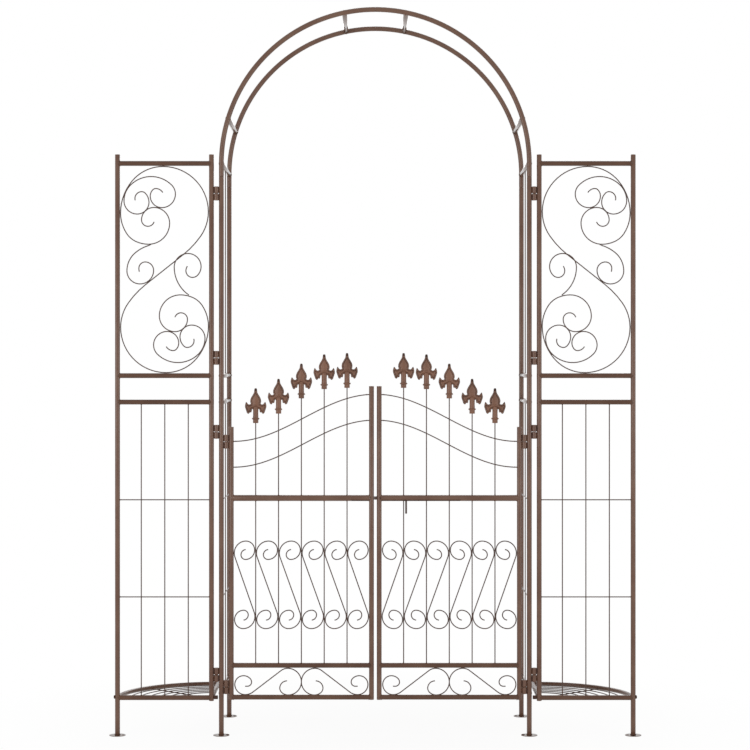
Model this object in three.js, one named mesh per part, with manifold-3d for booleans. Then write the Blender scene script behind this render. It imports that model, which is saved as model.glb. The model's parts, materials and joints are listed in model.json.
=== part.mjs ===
// Garden arch with a pair of gates and two hinged trellis wings, in powder-coated steel.
// Millimetres, +Z up. The origin is on the ground in the middle of the arch. The gates hang in the
// front plane, towards -Y, and left means -X. Every left piece is mirrored to make the right one.

import * as THREE from "three";
import { mergeVertices } from "three/addons/utils/BufferGeometryUtils.js";
import Module from "manifold-3d";

const wasm = await Module();
wasm.setup();

// Stock

const TUBE_D = 15; // round tube of posts, hoops, rails and stiles
const RAIL_D = 18.3; // stouter tube of the gates' middle rail, which holds the latch
const WIRE_D = 2.8; // round wire of scrolls, lattice, pickets and shelf
const GAP = 0.3; // air left at every welded or seated contact
const WELD_OVERLAP = 1; // how far welded pieces of one node run into each other
const OVERRUN = 5; // extra length of every cutter

// Arch

const ARCH_WIDTH = 933; // between post axes, side to side
const ARCH_DEPTH = 355; // between post axes, front to back
const SPRING_HEIGHT = 1733; // ground to the centre of the half-round hoop
const HOOP_LEG = 40; // straight end of each hoop half, below the spring line
const SPIGOT_D = 11; // swaged end that plugs into the next tube
const SPIGOT_LENGTH = 28;
const CROWN_RUNG_ANGLE = 11.5; // degrees from the crown to the hoop rungs beside it
const SHOULDER_RUNG_ANGLE = 17; // degrees above the spring line
const BAND_TOP_HEIGHT = 1090; // axis of the rung above the empty band in every side
const BAND_SPACING = 80; // down to the rung below the band
const BASE_RUNG_HEIGHT = 128;

// Foot plates

const FOOT_D = 50;
const FOOT_THICKNESS = 3;
const FOOT_PLUG_LENGTH = 22;
const PEG_HOLE_D = 8; // for a ground peg
const PEG_HOLE_OFFSET = 17; // from the post axis, towards the middle of the arch

// Lift-off barrel hinges

const BARREL_D = 14.4;
const BARREL_HEIGHT = 42; // both halves together
const PIN_D = 7.6;
const PIN_LENGTH = 16; // above the lower half
const PIN_CLEARANCE = 0.4; // keeps the pin's corners off the flats of its bore as it turns
const WELD_WIDTH = 3.2; // bead between a barrel and its tube
const WING_TOP_HINGE_DEPTH = 118; // below the top of the wing
const WING_BAND_HINGE_HEIGHT = 54; // above the upper rung of the band
const WING_BAND_HINGE_DEPTH = 90; // below the lower rung of the band
const WING_FOOT_HINGE_HEIGHT = 79; // above the end of the inner post
const GATE_TOP_HINGE_DEPTH = 45; // below the top of the hinge stile
const GATE_FOOT_HINGE_HEIGHT = 38.5; // above the end of the hinge stile

// Wings

const WING_WIDTH = 284.7; // between post axes
const WING_RISE_HEIGHT = 27; // wing top above the spring line
const WING_TOP_RAIL_DEPTH = 27; // post top to rail axis
const SHELF_HEIGHT = 114.5; // ground to the axis of the shelf's front bar
const INNER_POST_OVERHANG = 2; // of the inner post, which hangs clear of the ground
const SHELF_RIM_D = 12; // thinner tube of the shelf's curved rim
const SHELF_WIRE_COUNT = 6;
const SHELF_BRACE_ANGLE = 45;

// Gates

const LEAF_GAP = 8.4; // between the two meeting stiles
const BOTTOM_RAIL_HEIGHT = 116; // ground to axis
const BOTTOM_PANEL_HEIGHT = 96.4; // bottom rail to lower rail
const SCROLL_PANEL_HEIGHT = 506.9; // lower rail to middle rail
const PICKET_PANEL_HEIGHT = 339.1; // middle rail to the top of the meeting stile
const PICKET_COUNT = 5;
const PICKET_PITCH = 69.2;

// Finials

const FINIAL_HEIGHT = 105.5;
const FINIAL_WIDTH = 65;
const FINIAL_BLADE_THICKNESS = 9;
const FINIAL_BORE_DEPTH = 14;

// Slide latch

const BOLT_D = 10.4;
const BOLT_LENGTH = 200;
const BOLT_CLEARANCE = 0.35; // all round, in its guide
const BOLT_REST_SHORT = 0.3; // from the bolt's tip to the left leaf at rest
const GUIDE_LENGTH = 238; // slotted part of the right middle rail
const KEEPER_LENGTH = 52; // slotted part of the left middle rail
const HANDLE_D = 5.3;
const HANDLE_X = 93.2; // from the middle of the arch to the handle
const HANDLE_LENGTH = 47; // bolt axis to the handle's lower end
const HANDLE_BEND = 6; // bend radius
const HANDLE_TILT = 55; // degrees below level at which the handle leaves the bolt
const SLOT_CLEARANCE = 0.6; // each side of the handle

// Facets: the flats of a straight tube touch its true circle

const TUBE_SIDES = 8;
const WIRE_SIDES = 4;
const BARREL_SIDES = 12;
const PIN_SIDES = 8;
const SPIGOT_SIDES = 6;
const DISC_SIDES = 12;
const STEM_SIDES = 6;
const HOOP_STEPS = 10; // per quarter
const SPIGOT_STEPS = 2;
const bendSagShare = 0.02; // how far a facet may fall inside its bend, as a share of the panel
const WAVE_STEPS = 7;

// Derived places, for the left side

const frontY = -ARCH_DEPTH / 2;
const backY = ARCH_DEPTH / 2;
const postX = -ARCH_WIDTH / 2;
const hoopRadius = ARCH_WIDTH / 2;
const crownHeight = SPRING_HEIGHT + hoopRadius; // axis of the hoop at its top
const tubeR = TUBE_D / 2;
const railR = RAIL_D / 2;
const wireR = WIRE_D / 2;
const jointHeight = SPRING_HEIGHT - HOOP_LEG;
const pinOffset = tubeR + BARREL_D / 2 + GAP; // tube axis to hinge pin, each side of the pin
const wingPinX = postX - pinOffset;
const gatePinX = postX + pinOffset;
const bandFoot = BAND_TOP_HEIGHT - BAND_SPACING;
const innerPostX = wingPinX - pinOffset;
const outerPostX = innerPostX - WING_WIDTH;
const hingeStileX = gatePinX + pinOffset;
const meetingStileX = -LEAF_GAP / 2 - tubeR;
const leafStartX = hingeStileX + tubeR; // clear space between the stiles
const leafEndX = meetingStileX - tubeR;
const leafMiddleX = (leafStartX + leafEndX) / 2;
const lowerRail = BOTTOM_RAIL_HEIGHT + BOTTOM_PANEL_HEIGHT;
const midRailHeight = lowerRail + SCROLL_PANEL_HEIGHT;
const gateFoot = BOTTOM_RAIL_HEIGHT - tubeR;
const gateTop = midRailHeight + PICKET_PANEL_HEIGHT;
const hingeStileShare = 0.636; // of the picket panel's height
const hingeStileTop = midRailHeight + PICKET_PANEL_HEIGHT * hingeStileShare;
const wingTop = SPRING_HEIGHT + WING_RISE_HEIGHT;
const wingFoot = SHELF_HEIGHT - tubeR - INNER_POST_OVERHANG;
const wingHinges = [
  wingFoot + WING_FOOT_HINGE_HEIGHT,
  bandFoot - WING_BAND_HINGE_DEPTH,
  BAND_TOP_HEIGHT + WING_BAND_HINGE_HEIGHT,
  wingTop - WING_TOP_HINGE_DEPTH,
];
const gateHinges = [gateFoot + GATE_FOOT_HINGE_HEIGHT, hingeStileTop - GATE_TOP_HINGE_DEPTH];

// Level wires of the side panels and the wings, as shares of the rise from shelf to band.
const crossWireShares = [0.342, 0.671];
const crossWires = crossWireShares.map((share) => SHELF_HEIGHT + (bandFoot - SHELF_HEIGHT) * share);
const guideR = BOLT_D / 2 + BOLT_CLEARANCE;

// Helpers

const radians = (degrees) => THREE.MathUtils.degToRad(degrees);
const at = (x, y, z) => new THREE.Vector3(x, y, z);

// A closed geometry as a solid that can be joined and cut.
function solid(geometry) {
  geometry.deleteAttribute("normal");
  geometry.deleteAttribute("uv");
  const merged = mergeVertices(geometry, 1e-4);
  return new wasm.Manifold(
    new wasm.Mesh({
      numProp: 3,
      vertProperties: new Float32Array(merged.attributes.position.array),
      triVerts: new Uint32Array(merged.index.array),
    }),
  );
}

// A round section as a shape whose flats lie on the circle and face the axes.
function section(radius, sides) {
  const corner = radius / Math.cos(Math.PI / sides);
  const points = [];
  for (let i = 0; i < sides; i++) {
    const angle = ((i + 0.5) * 2 * Math.PI) / sides;
    points.push(new THREE.Vector2(corner * Math.cos(angle), corner * Math.sin(angle)));
  }
  return new THREE.Shape(points);
}

// A straight round bar between two points.
function bar(from, to, radius, sides = TUBE_SIDES) {
  const run = to.clone().sub(from);
  const geometry = new THREE.ExtrudeGeometry(section(radius, sides), {
    depth: run.length(),
    bevelEnabled: false,
  });
  const turn = new THREE.Quaternion().setFromUnitVectors(at(0, 0, 1), run.normalize());
  geometry.applyQuaternion(turn).translate(from.x, from.y, from.z);
  return solid(geometry);
}

const tube = (from, to) => bar(from, to, tubeR);
const wire = (from, to) => bar(from, to, wireR, WIRE_SIDES);

// A path through points, one facet to each stretch, without a kink in its frames.
class PointPath extends THREE.Curve {
  constructor(points) {
    super();
    this.points = points;
  }
  getUtoTmapping(u) {
    return u;
  }
  getPoint(t, target = at(0, 0, 0)) {
    const last = this.points.length - 1;
    const i = Math.min(Math.floor(t * last + 1e-6), last - 1);
    return target.lerpVectors(this.points[i], this.points[i + 1], t * last - i);
  }
  getTangent(t, target = at(0, 0, 0)) {
    const last = this.points.length - 1;
    const i = Math.round(t * last);
    const before = this.points[Math.max(i, 1)].clone().sub(this.points[Math.max(i, 1) - 1]);
    const after = this.points[Math.min(i, last - 1) + 1].clone().sub(this.points[Math.min(i, last - 1)]);
    return target.copy(before.normalize().add(after.normalize())).normalize();
  }
}

// A round bar along a path through points.
function bentBar(points, radius, sides) {
  const geometry = new THREE.ExtrudeGeometry(section(radius, sides), {
    steps: points.length - 1,
    extrudePath: new PointPath(points),
    bevelEnabled: false,
  });
  return solid(geometry);
}

const joined = (solids) => solids.slice(1).reduce((sum, next) => sum.add(next), solids[0]);
const cutBy = (body, cutters) => cutters.reduce((left, cutter) => left.subtract(cutter), body);

// A cutter that leaves GAP round an upright tube, for coped ends.
const uprightCutter = (x, y) => bar(at(x, y, -OVERRUN), at(x, y, crownHeight), tubeR + GAP);

// How many facets a bend needs, with its radius given as a share of the panel.
const bendSteps = (radiusShare, degrees) =>
  Math.ceil(radians(Math.abs(degrees)) / (2 * Math.acos(1 - bendSagShare / radiusShare)));

// Walks a pen along [length] runs and [radius, degrees] bends, given as shares of unit.
// Left turns are positive.
function walk(start, headingDegrees, moves, unit) {
  let heading = radians(headingDegrees);
  let here = start.clone();
  const points = [here.clone()];
  for (const [share, degrees = 0] of moves) {
    const size = share * unit;
    if (degrees === 0) {
      here.x += size * Math.cos(heading);
      here.y += size * Math.sin(heading);
      points.push(here.clone());
      continue;
    }
    const steps = bendSteps(share, degrees);
    const turn = radians(degrees) / steps;
    const chord = 2 * size * Math.sin(Math.abs(turn) / 2);
    for (let i = 0; i < steps; i++) {
      here.x += chord * Math.cos(heading + turn / 2);
      here.y += chord * Math.sin(heading + turn / 2);
      heading += turn;
      points.push(here.clone());
    }
  }
  return points;
}

// An S whose two halves are the same, half a turn apart about the origin.
function twoFold(heading, moves, unit) {
  const half = walk(new THREE.Vector2(), heading, moves, unit).slice(1);
  return [...half.map((p) => p.clone().negate()).reverse(), ...half];
}

// Widest reach of a flat path from the origin, each way.
const reachOf = (path) => {
  const box = new THREE.Box2().setFromPoints(path);
  return box.max;
};

// A flat path stretched, moved and stood up in the front plane.
const standUp = (path, stretch, centreX, centreZ) =>
  path.map((p) => at(centreX + p.x * stretch.x, frontY, centreZ + p.y * stretch.y));

const bentWire = (points) => bentBar(points, wireR, WIRE_SIDES);

// A weld across the place where two routes come closest.
function weldBetween(route, other) {
  let best = { apart: Infinity };
  const line = new THREE.Line3();
  for (const [from, to] of [[route, other], [other, route]]) {
    for (const point of from) {
      for (let i = 1; i < to.length; i++) {
        const near = line.set(to[i - 1], to[i]).closestPointToPoint(point, true, at(0, 0, 0));
        const apart = near.distanceTo(point);
        if (apart < best.apart) best = { apart, point, near };
      }
    }
  }
  const over = best.near.clone().sub(best.point).setLength(wireR);
  return wire(best.point.clone().sub(over), best.near.clone().add(over));
}

// Hinge halves: the lower one carries the pin, the upper one drops over it.

const barrelR = BARREL_D / 2;
const pinR = PIN_D / 2;

// A short barrel beside its tube, joined to it by a bead.
function weldedBarrel(pinX, tubeX, fromZ, toZ) {
  const barrel = bar(at(pinX, frontY, fromZ), at(pinX, frontY, toZ), barrelR, BARREL_SIDES);
  const bead = new THREE.BoxGeometry(WELD_WIDTH, WELD_WIDTH, toZ - fromZ);
  const seamX = tubeX + Math.sign(pinX - tubeX) * (tubeR + GAP / 2);
  return barrel.add(solid(bead.translate(seamX, frontY, (fromZ + toZ) / 2)));
}

function lowerHalf(pinX, tubeX, z) {
  const barrel = weldedBarrel(pinX, tubeX, z - BARREL_HEIGHT / 2, z - GAP / 2);
  const pin = bar(at(pinX, frontY, z - PIN_LENGTH), at(pinX, frontY, z + PIN_LENGTH), pinR, PIN_SIDES);
  return barrel.add(pin);
}

function upperHalf(pinX, tubeX, z) {
  const barrel = weldedBarrel(pinX, tubeX, z + GAP / 2, z + BARREL_HEIGHT / 2);
  const boreTop = at(pinX, frontY, z + PIN_LENGTH + PIN_CLEARANCE);
  return barrel.subtract(bar(at(pinX, frontY, z - OVERRUN), boreTop, pinR + PIN_CLEARANCE, PIN_SIDES));
}

// Arch posts, with the fixed hinge halves on the front pair

function archPost(y) {
  const body = tube(at(postX, y, FOOT_THICKNESS), at(postX, y, jointHeight));
  const spigotTop = jointHeight + SPIGOT_LENGTH;
  const spigotFoot = at(postX, y, jointHeight - WELD_OVERLAP);
  const spigot = bar(spigotFoot, at(postX, y, spigotTop), SPIGOT_D / 2, SPIGOT_SIDES);
  const plugHole = footPlugHole(postX, y);
  return body.add(spigot).subtract(plugHole);
}

function frontPost() {
  const wingHalves = wingHinges.map((z) => lowerHalf(wingPinX, postX, z));
  const gateHalves = gateHinges.map((z) => lowerHalf(gatePinX, postX, z));
  return joined([archPost(frontY), ...wingHalves, ...gateHalves]);
}

// Foot plates: a disc with a ground-peg hole and a plug that goes up into the post

function footPlugHole(x, y) {
  const top = FOOT_THICKNESS + FOOT_PLUG_LENGTH + GAP;
  return bar(at(x, y, -OVERRUN), at(x, y, top), SPIGOT_D / 2 + GAP, SPIGOT_SIDES);
}

function foot(x, y) {
  const disc = bar(at(x, y, 0), at(x, y, FOOT_THICKNESS), FOOT_D / 2, DISC_SIDES);
  const plugTop = FOOT_THICKNESS + FOOT_PLUG_LENGTH;
  const plug = bar(at(x, y, FOOT_THICKNESS - WELD_OVERLAP), at(x, y, plugTop), SPIGOT_D / 2, SPIGOT_SIDES);
  const pegX = x + PEG_HOLE_OFFSET;
  const pegTop = at(pegX, y, FOOT_THICKNESS + OVERRUN);
  const pegHole = bar(at(pegX, y, -OVERRUN), pegTop, PEG_HOLE_D / 2, SPIGOT_SIDES);
  return disc.add(plug).subtract(pegHole);
}

// Hoop halves: a quarter circle with a straight leg that sits on the post

function hoopPoints(y, fromAngle, toAngle, steps) {
  const points = [];
  for (let i = 0; i <= steps; i++) {
    const angle = radians(fromAngle + ((toAngle - fromAngle) * i) / steps);
    points.push(at(-hoopRadius * Math.cos(angle), y, SPRING_HEIGHT + hoopRadius * Math.sin(angle)));
  }
  return points;
}

// Each half is bent one facet past the crown and cut square, half a gap short of the middle.
const spigotAngle = THREE.MathUtils.radToDeg(SPIGOT_LENGTH / hoopRadius);

function hoopTube(y, radius) {
  const leg = at(postX, y, jointHeight + GAP);
  const facet = 90 / HOOP_STEPS;
  return bentBar([leg, ...hoopPoints(y, 0, 90 + facet, HOOP_STEPS + 1)], radius, TUBE_SIDES);
}

function hoopHalf(y) {
  const beyond = bar(at(-GAP / 2, y, crownHeight), at(hoopRadius, y, crownHeight), TUBE_D);
  const holeTop = jointHeight + SPIGOT_LENGTH + GAP;
  const hole = bar(at(postX, y, 0), at(postX, y, holeTop), SPIGOT_D / 2 + GAP, SPIGOT_SIDES);
  return cutBy(hoopTube(y, tubeR), [beyond, hole]);
}

// The left half carries a spigot past the crown, and the right half has the hole for it.
function spigotHoop(y) {
  const route = hoopPoints(y, 90 - spigotAngle, 90 + spigotAngle, SPIGOT_STEPS);
  return hoopHalf(y).add(bentBar(route, SPIGOT_D / 2, SPIGOT_SIDES));
}

function socketHoop(y) {
  const reach = spigotAngle + THREE.MathUtils.radToDeg(GAP / hoopRadius);
  const route = hoopPoints(y, 90 - reach, 90 + reach, SPIGOT_STEPS);
  return hoopHalf(y).subtract(bentBar(route, SPIGOT_D / 2 + GAP, SPIGOT_SIDES));
}

// Rungs from front to back between the hoops, with coped ends

function hoopRung(angle) {
  const x = -hoopRadius * Math.cos(radians(angle));
  const z = SPRING_HEIGHT + hoopRadius * Math.sin(radians(angle));
  const body = tube(at(x, frontY, z), at(x, backY, z));
  return cutBy(body, [hoopCope(frontY), hoopCope(backY)]);
}

// Side panels of the arch, between front and back posts

const hoopCope = (y) => hoopTube(y, tubeR + GAP);
const postCope = (y) => uprightCutter(postX, y);

// A rung between the front and back, coped to the posts or to the hoops.
function sideRung(z, cope = postCope) {
  const body = tube(at(postX, frontY, z), at(postX, backY, z));
  return cutBy(body, [cope(frontY), cope(backY)]);
}

function upperSidePanel() {
  const upright = wire(at(postX, 0, BAND_TOP_HEIGHT), at(postX, 0, SPRING_HEIGHT));
  return joined([sideRung(SPRING_HEIGHT, hoopCope), sideRung(BAND_TOP_HEIGHT), upright]);
}

function lowerSidePanel() {
  const upright = wire(at(postX, 0, BASE_RUNG_HEIGHT), at(postX, 0, bandFoot));
  const reach = ARCH_DEPTH / 2 - tubeR - GAP;
  const levels = crossWires.map((z) => wire(at(postX, -reach, z), at(postX, reach, z)));
  return joined([sideRung(bandFoot), sideRung(BASE_RUNG_HEIGHT), upright, ...levels]);
}

// Wing frame

const wingCentreX = (innerPostX + outerPostX) / 2;
const wingTopRail = wingTop - WING_TOP_RAIL_DEPTH;

function wingRail(z) {
  const body = tube(at(outerPostX, frontY, z), at(innerPostX, frontY, z));
  return cutBy(body, [uprightCutter(outerPostX, frontY), uprightCutter(innerPostX, frontY)]);
}

function wingOuterPost() {
  const body = tube(at(outerPostX, frontY, FOOT_THICKNESS), at(outerPostX, frontY, wingTop));
  return body.subtract(footPlugHole(outerPostX, frontY));
}

function wingInnerPost() {
  const body = tube(at(innerPostX, frontY, wingFoot), at(innerPostX, frontY, wingTop));
  return joined([body, ...wingHinges.map((z) => upperHalf(wingPinX, innerPostX, z))]);
}

// Trellis: the lower rail of the empty band and the lattice that hangs from it

function trellis() {
  const wires = [];
  for (let i = 1; i < 4; i++) {
    const x = outerPostX + (WING_WIDTH * i) / 4;
    wires.push(wire(at(x, frontY, SHELF_HEIGHT + tubeR + GAP), at(x, frontY, bandFoot)));
  }
  const reach = WING_WIDTH / 2 - tubeR - GAP;
  for (const z of crossWires) {
    wires.push(wire(at(wingCentreX - reach, frontY, z), at(wingCentreX + reach, frontY, z)));
  }
  return joined([wingRail(bandFoot), ...wires]);
}

// Scrollwork of the upper wing panel, drawn for a panel one unit wide, centred on the origin:
// a large S, a C scroll in each of its bowls and a small curl on each side of its waist.
// The numbers are shares of the panel's clear width.

const scrollShares = {
  big: {
    heading: 38.5,
    moves: [
      [0.27], [0.99, 16.4], [0.475, 35.1], [0.508, 90], [0.45, 50], [0.56, 40], [0.42, 33], [0.25, 33],
      [0.34, 24], [0.236, 90], [0.176, 90], [0.139, 90], [0.083, 40], [0.045],
    ],
  },
  bowl: {
    start: [-0.328, 0.775],
    heading: 106.5,
    moves: [
      [0.076, -106.5], [0.055, -45], [0.145, -45], [0.132, -90], [0.148, -90], [0.25, -45], [0.326, -90],
      [0.143, -45], [0.152, -90], [0.13, -90], [0.1, -45], [0.046, -45], [0.091, -60],
    ],
  },
  leftCurl: {
    start: [-0.165, 0.273],
    heading: 195,
    moves: [[0.42, 25], [0.265, 50], [0.147, 90], [0.152, 90], [0.094, 90], [0.071, 90], [0.15, 15]],
  },
  rightCurl: {
    start: [0.274, -0.286],
    heading: 145.7,
    moves: [
      [0.378, -55.7], [0.154, -90], [0.147, -90], [0.139, -45], [0.078, -45], [0.074, -90], [0.087, -37],
    ],
  },
};

function scrollwork() {
  const low = BAND_TOP_HEIGHT + tubeR;
  const high = wingTopRail - tubeR;
  const unit = WING_WIDTH - TUBE_D;
  const draw = ({ start: [x, z], heading, moves }) =>
    walk(new THREE.Vector2(x, z).multiplyScalar(unit), heading, moves, unit);
  const big = twoFold(scrollShares.big.heading, scrollShares.big.moves, unit);
  const bowl = draw(scrollShares.bowl);
  const otherBowl = bowl.map((p) => p.clone().negate());
  const paths = [big, bowl, otherBowl, draw(scrollShares.leftCurl), draw(scrollShares.rightCurl)];
  const reach = reachOf(big);
  const stretch = new THREE.Vector2(
    (WING_WIDTH / 2 - tubeR - GAP - wireR) / reach.x,
    ((high - low) / 2 - GAP - wireR) / reach.y,
  );
  const routes = paths.map((path) => standUp(path, stretch, wingCentreX, (low + high) / 2));
  const [bigRoute, ...others] = routes;
  const welds = others.map((route) => weldBetween(route, bigRoute));
  return joined([...routes.map(bentWire), ...welds]);
}

// Quarter-round plant shelf behind the wing: front bar, side bar, rim, curved wires and a brace

function shelfPoint(radius, angle) {
  const x = innerPostX - radius * Math.cos(radians(angle));
  return at(x, frontY + radius * Math.sin(radians(angle)), SHELF_HEIGHT);
}

function shelfArc(radius, barRadius, sides) {
  const steps = bendSteps(radius / WING_WIDTH, 90);
  const points = [];
  for (let i = 0; i <= steps; i++) points.push(shelfPoint(radius, (90 * i) / steps));
  return bentBar(points, barRadius, sides);
}

// Radius of the first curved wire and the pitch to the next, as shares of the rim's radius.
const shelfFirstWireShare = 0.3545;
const shelfWirePitchShare = 0.1032;

function shelf() {
  const rimR = SHELF_RIM_D / 2;
  const rimRadius = WING_WIDTH; // ends against the back of the outer post
  const corner = at(innerPostX, frontY, SHELF_HEIGHT);
  const frontBar = tube(at(outerPostX, frontY, SHELF_HEIGHT), corner);
  const sideBar = tube(corner, at(innerPostX, frontY + rimRadius, SHELF_HEIGHT));
  const rim = shelfArc(rimRadius, rimR, TUBE_SIDES);
  const wires = [];
  for (let i = 0; i < SHELF_WIRE_COUNT; i++) {
    const radiusShare = shelfFirstWireShare + i * shelfWirePitchShare;
    wires.push(shelfArc(rimRadius * radiusShare, wireR, WIRE_SIDES));
  }
  wires.push(wire(shelfPoint(TUBE_D, SHELF_BRACE_ANGLE), shelfPoint(rimRadius, SHELF_BRACE_ANGLE)));
  const body = joined([frontBar, sideBar, rim, ...wires]);
  return cutBy(body, [uprightCutter(outerPostX, frontY), uprightCutter(innerPostX, frontY)]);
}

// Gate frame

function gateStile(x, top) {
  return tube(at(x, frontY, gateFoot), at(x, frontY, top));
}

function hingeStile() {
  const halves = gateHinges.map((z) => upperHalf(gatePinX, hingeStileX, z));
  return joined([gateStile(hingeStileX, hingeStileTop), ...halves]);
}

function gateRail(z, radius = tubeR) {
  const body = bar(at(hingeStileX, frontY, z), at(meetingStileX, frontY, z), radius);
  return cutBy(body, [uprightCutter(hingeStileX, frontY), uprightCutter(meetingStileX, frontY)]);
}

// The bolt's way through a stile or along a rail, between two distances from the middle.
const boltBore = (fromX, toX) =>
  bar(at(fromX, frontY, midRailHeight), at(toX, frontY, midRailHeight), guideR);

function meetingStile() {
  return gateStile(meetingStileX, gateTop).subtract(boltBore(leafEndX - OVERRUN, OVERRUN));
}

// The slot in which the latch handle slides, on the left side of the middle.
function handleSlot(fromX, toX) {
  const width = HANDLE_D + 2 * SLOT_CLEARANCE;
  const slot = new THREE.BoxGeometry(toX - fromX, RAIL_D, width);
  slot.translate((fromX + toX) / 2, -railR, 0).rotateX(radians(HANDLE_TILT));
  return solid(slot.translate(0, frontY, midRailHeight));
}

// A middle rail whose end is bored and slotted over this length.
function midRail(boredLength) {
  const endX = leafEndX - boredLength;
  return gateRail(midRailHeight, railR)
    .subtract(boltBore(endX, 0))
    .subtract(handleSlot(endX, 0));
}

// Pickets stand at an even pitch about the middle of the leaf.
const picketX = (i) => leafMiddleX + (i - (PICKET_COUNT - 1) / 2) * PICKET_PITCH;

// Picket tops, as shares of the rise from the middle rail to the top of the meeting stile.
const picketTopShares = [0.67, 0.754, 0.89, 0.973, 0.984];
const finialBase = (i) => midRailHeight + PICKET_PANEL_HEIGHT * picketTopShares[i];

// Starts and rise of the two wavy wires, as shares of the same height.
const waveStartShares = [0.275, 0.506];
const waveRiseShare = 0.42;

// A wavy wire: half a cosine wave that crests at the far face of the meeting stile.
function wave(startShare) {
  const crestX = meetingStileX + tubeR;
  const points = [];
  for (let i = 0; i <= WAVE_STEPS; i++) {
    const x = leafStartX + GAP + ((leafEndX - leafStartX - 2 * GAP) * i) / WAVE_STEPS;
    const share = (x - leafStartX) / (crestX - leafStartX);
    const rise = startShare + (waveRiseShare * (1 - Math.cos(Math.PI * share))) / 2;
    points.push(at(x, frontY, midRailHeight + rise * PICKET_PANEL_HEIGHT));
  }
  return bentBar(points, wireR, WIRE_SIDES);
}

function picketPanel() {
  const pickets = [];
  for (let i = 0; i < PICKET_COUNT; i++) {
    const low = at(picketX(i), frontY, midRailHeight + railR + GAP);
    pickets.push(wire(low, at(picketX(i), frontY, finialBase(i) + FINIAL_BORE_DEPTH - GAP)));
  }
  return joined([...waveStartShares.map(wave), ...pickets]);
}

// Scroll panel: the lower rail, the pickets above it and an S scroll in every bay.
// The numbers are shares of the scroll's height.

const bayScrollHeightShare = 0.541; // of the clear height between the rails
const bayScrollMiddleShare = 0.482;
const bayScrollShares = [[0.335], [0.138, -110], [0.102, -90], [0.108, -90], [0.053, -90], [0.06, -86]];

function scrollPanel() {
  const pieces = [gateRail(lowerRail)];
  const beside = WIRE_D - WELD_OVERLAP; // from a picket's axis to the scroll welded to its side
  const bays = [{ from: leafStartX + GAP + wireR }];
  for (let i = 0; i < PICKET_COUNT; i++) {
    const low = at(picketX(i), frontY, lowerRail);
    pieces.push(wire(low, at(picketX(i), frontY, midRailHeight - railR - GAP)));
    bays[i].to = picketX(i) - beside;
    bays.push({ from: picketX(i) + beside });
  }
  bays[PICKET_COUNT].to = leafEndX - GAP - wireR;
  const clearFoot = lowerRail + tubeR;
  const clearHeight = midRailHeight - railR - clearFoot;
  const scrollHeight = clearHeight * bayScrollHeightShare;
  const path = twoFold(109.8, bayScrollShares, scrollHeight);
  const reach = reachOf(path);
  const centreZ = clearFoot + clearHeight * bayScrollMiddleShare;
  for (const { from, to } of bays) {
    const stretch = new THREE.Vector2((to - from) / 2 / reach.x, scrollHeight / 2 / reach.y);
    pieces.push(bentWire(standUp(path, stretch, (from + to) / 2, centreZ)));
  }
  return joined(pieces);
}

// Bottom panel: the bottom rail and two scrolls that meet in the middle of the leaf.
// The numbers are shares of half the width between the stiles.

const kickReachShare = 0.984; // from the middle of the leaf to the far edge of a scroll
const kickScrollShares = {
  middle: [
    [0.256], [0.164, -37.5], [0.198, -90], [0.192, -90], [0.138, -45], [0.085, -45], [0.106, -90],
  ],
  end: [
    [0.256], [0.19, -37.5], [0.15, -90], [0.127, -90], [0.133, -45], [0.078, -45], [0.06, -90], [0.035],
  ],
};

function bottomPanel() {
  const heading = 37.5;
  const unit = (leafEndX - leafStartX) / 2;
  const { middle, end } = kickScrollShares;
  const middleHalf = walk(new THREE.Vector2(), heading, middle, unit).slice(1);
  const endHalf = walk(new THREE.Vector2(), heading + 180, end, unit).slice(1);
  const path = [...endHalf.reverse(), ...middleHalf];
  const box = new THREE.Box2().setFromPoints(path);
  const low = BOTTOM_RAIL_HEIGHT + tubeR - wireR;
  const high = lowerRail - tubeR - wireR - GAP;
  const stretch = new THREE.Vector2(
    (unit * kickReachShare) / (box.max.x - box.min.x),
    (high - low) / (box.max.y - box.min.y),
  );
  const centreX = leafMiddleX - box.max.x * stretch.x; // the two scrolls meet in the middle
  const facing = path.map((p) => new THREE.Vector2(-p.x, p.y));
  const centreZ = low - box.min.y * stretch.y;
  return joined([
    gateRail(BOTTOM_RAIL_HEIGHT),
    bentWire(standUp(path, stretch, centreX, centreZ)),
    bentWire(standUp(facing, stretch, 2 * leafMiddleX - centreX, centreZ)),
  ]);
}

// Finials: a spear blade with a swept wing on each side, over a stem, a collar and a socket.
// Outline of the right half from the tip down, as shares of half the width and of the height.

const finialOutlineShares = [
  [0, 1], [0.09, 0.97], [0.14, 0.88], [0.34, 0.77], [0.49, 0.66], [0.43, 0.55], [0.7, 0.53],
  [0.88, 0.6], [1, 0.48], [0.86, 0.36], [0.7, 0.27], [0.56, 0.31], [0.4, 0.32], [0.3, 0.4],
];

// Half section of the socket, collar and stem, in the same shares.
const finialStemShares = [
  [0, 0], [0.25, 0], [0.25, 0.1], [0.35, 0.13], [0.25, 0.16], [0.23, 0.42], [0, 0.42],
];

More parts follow.
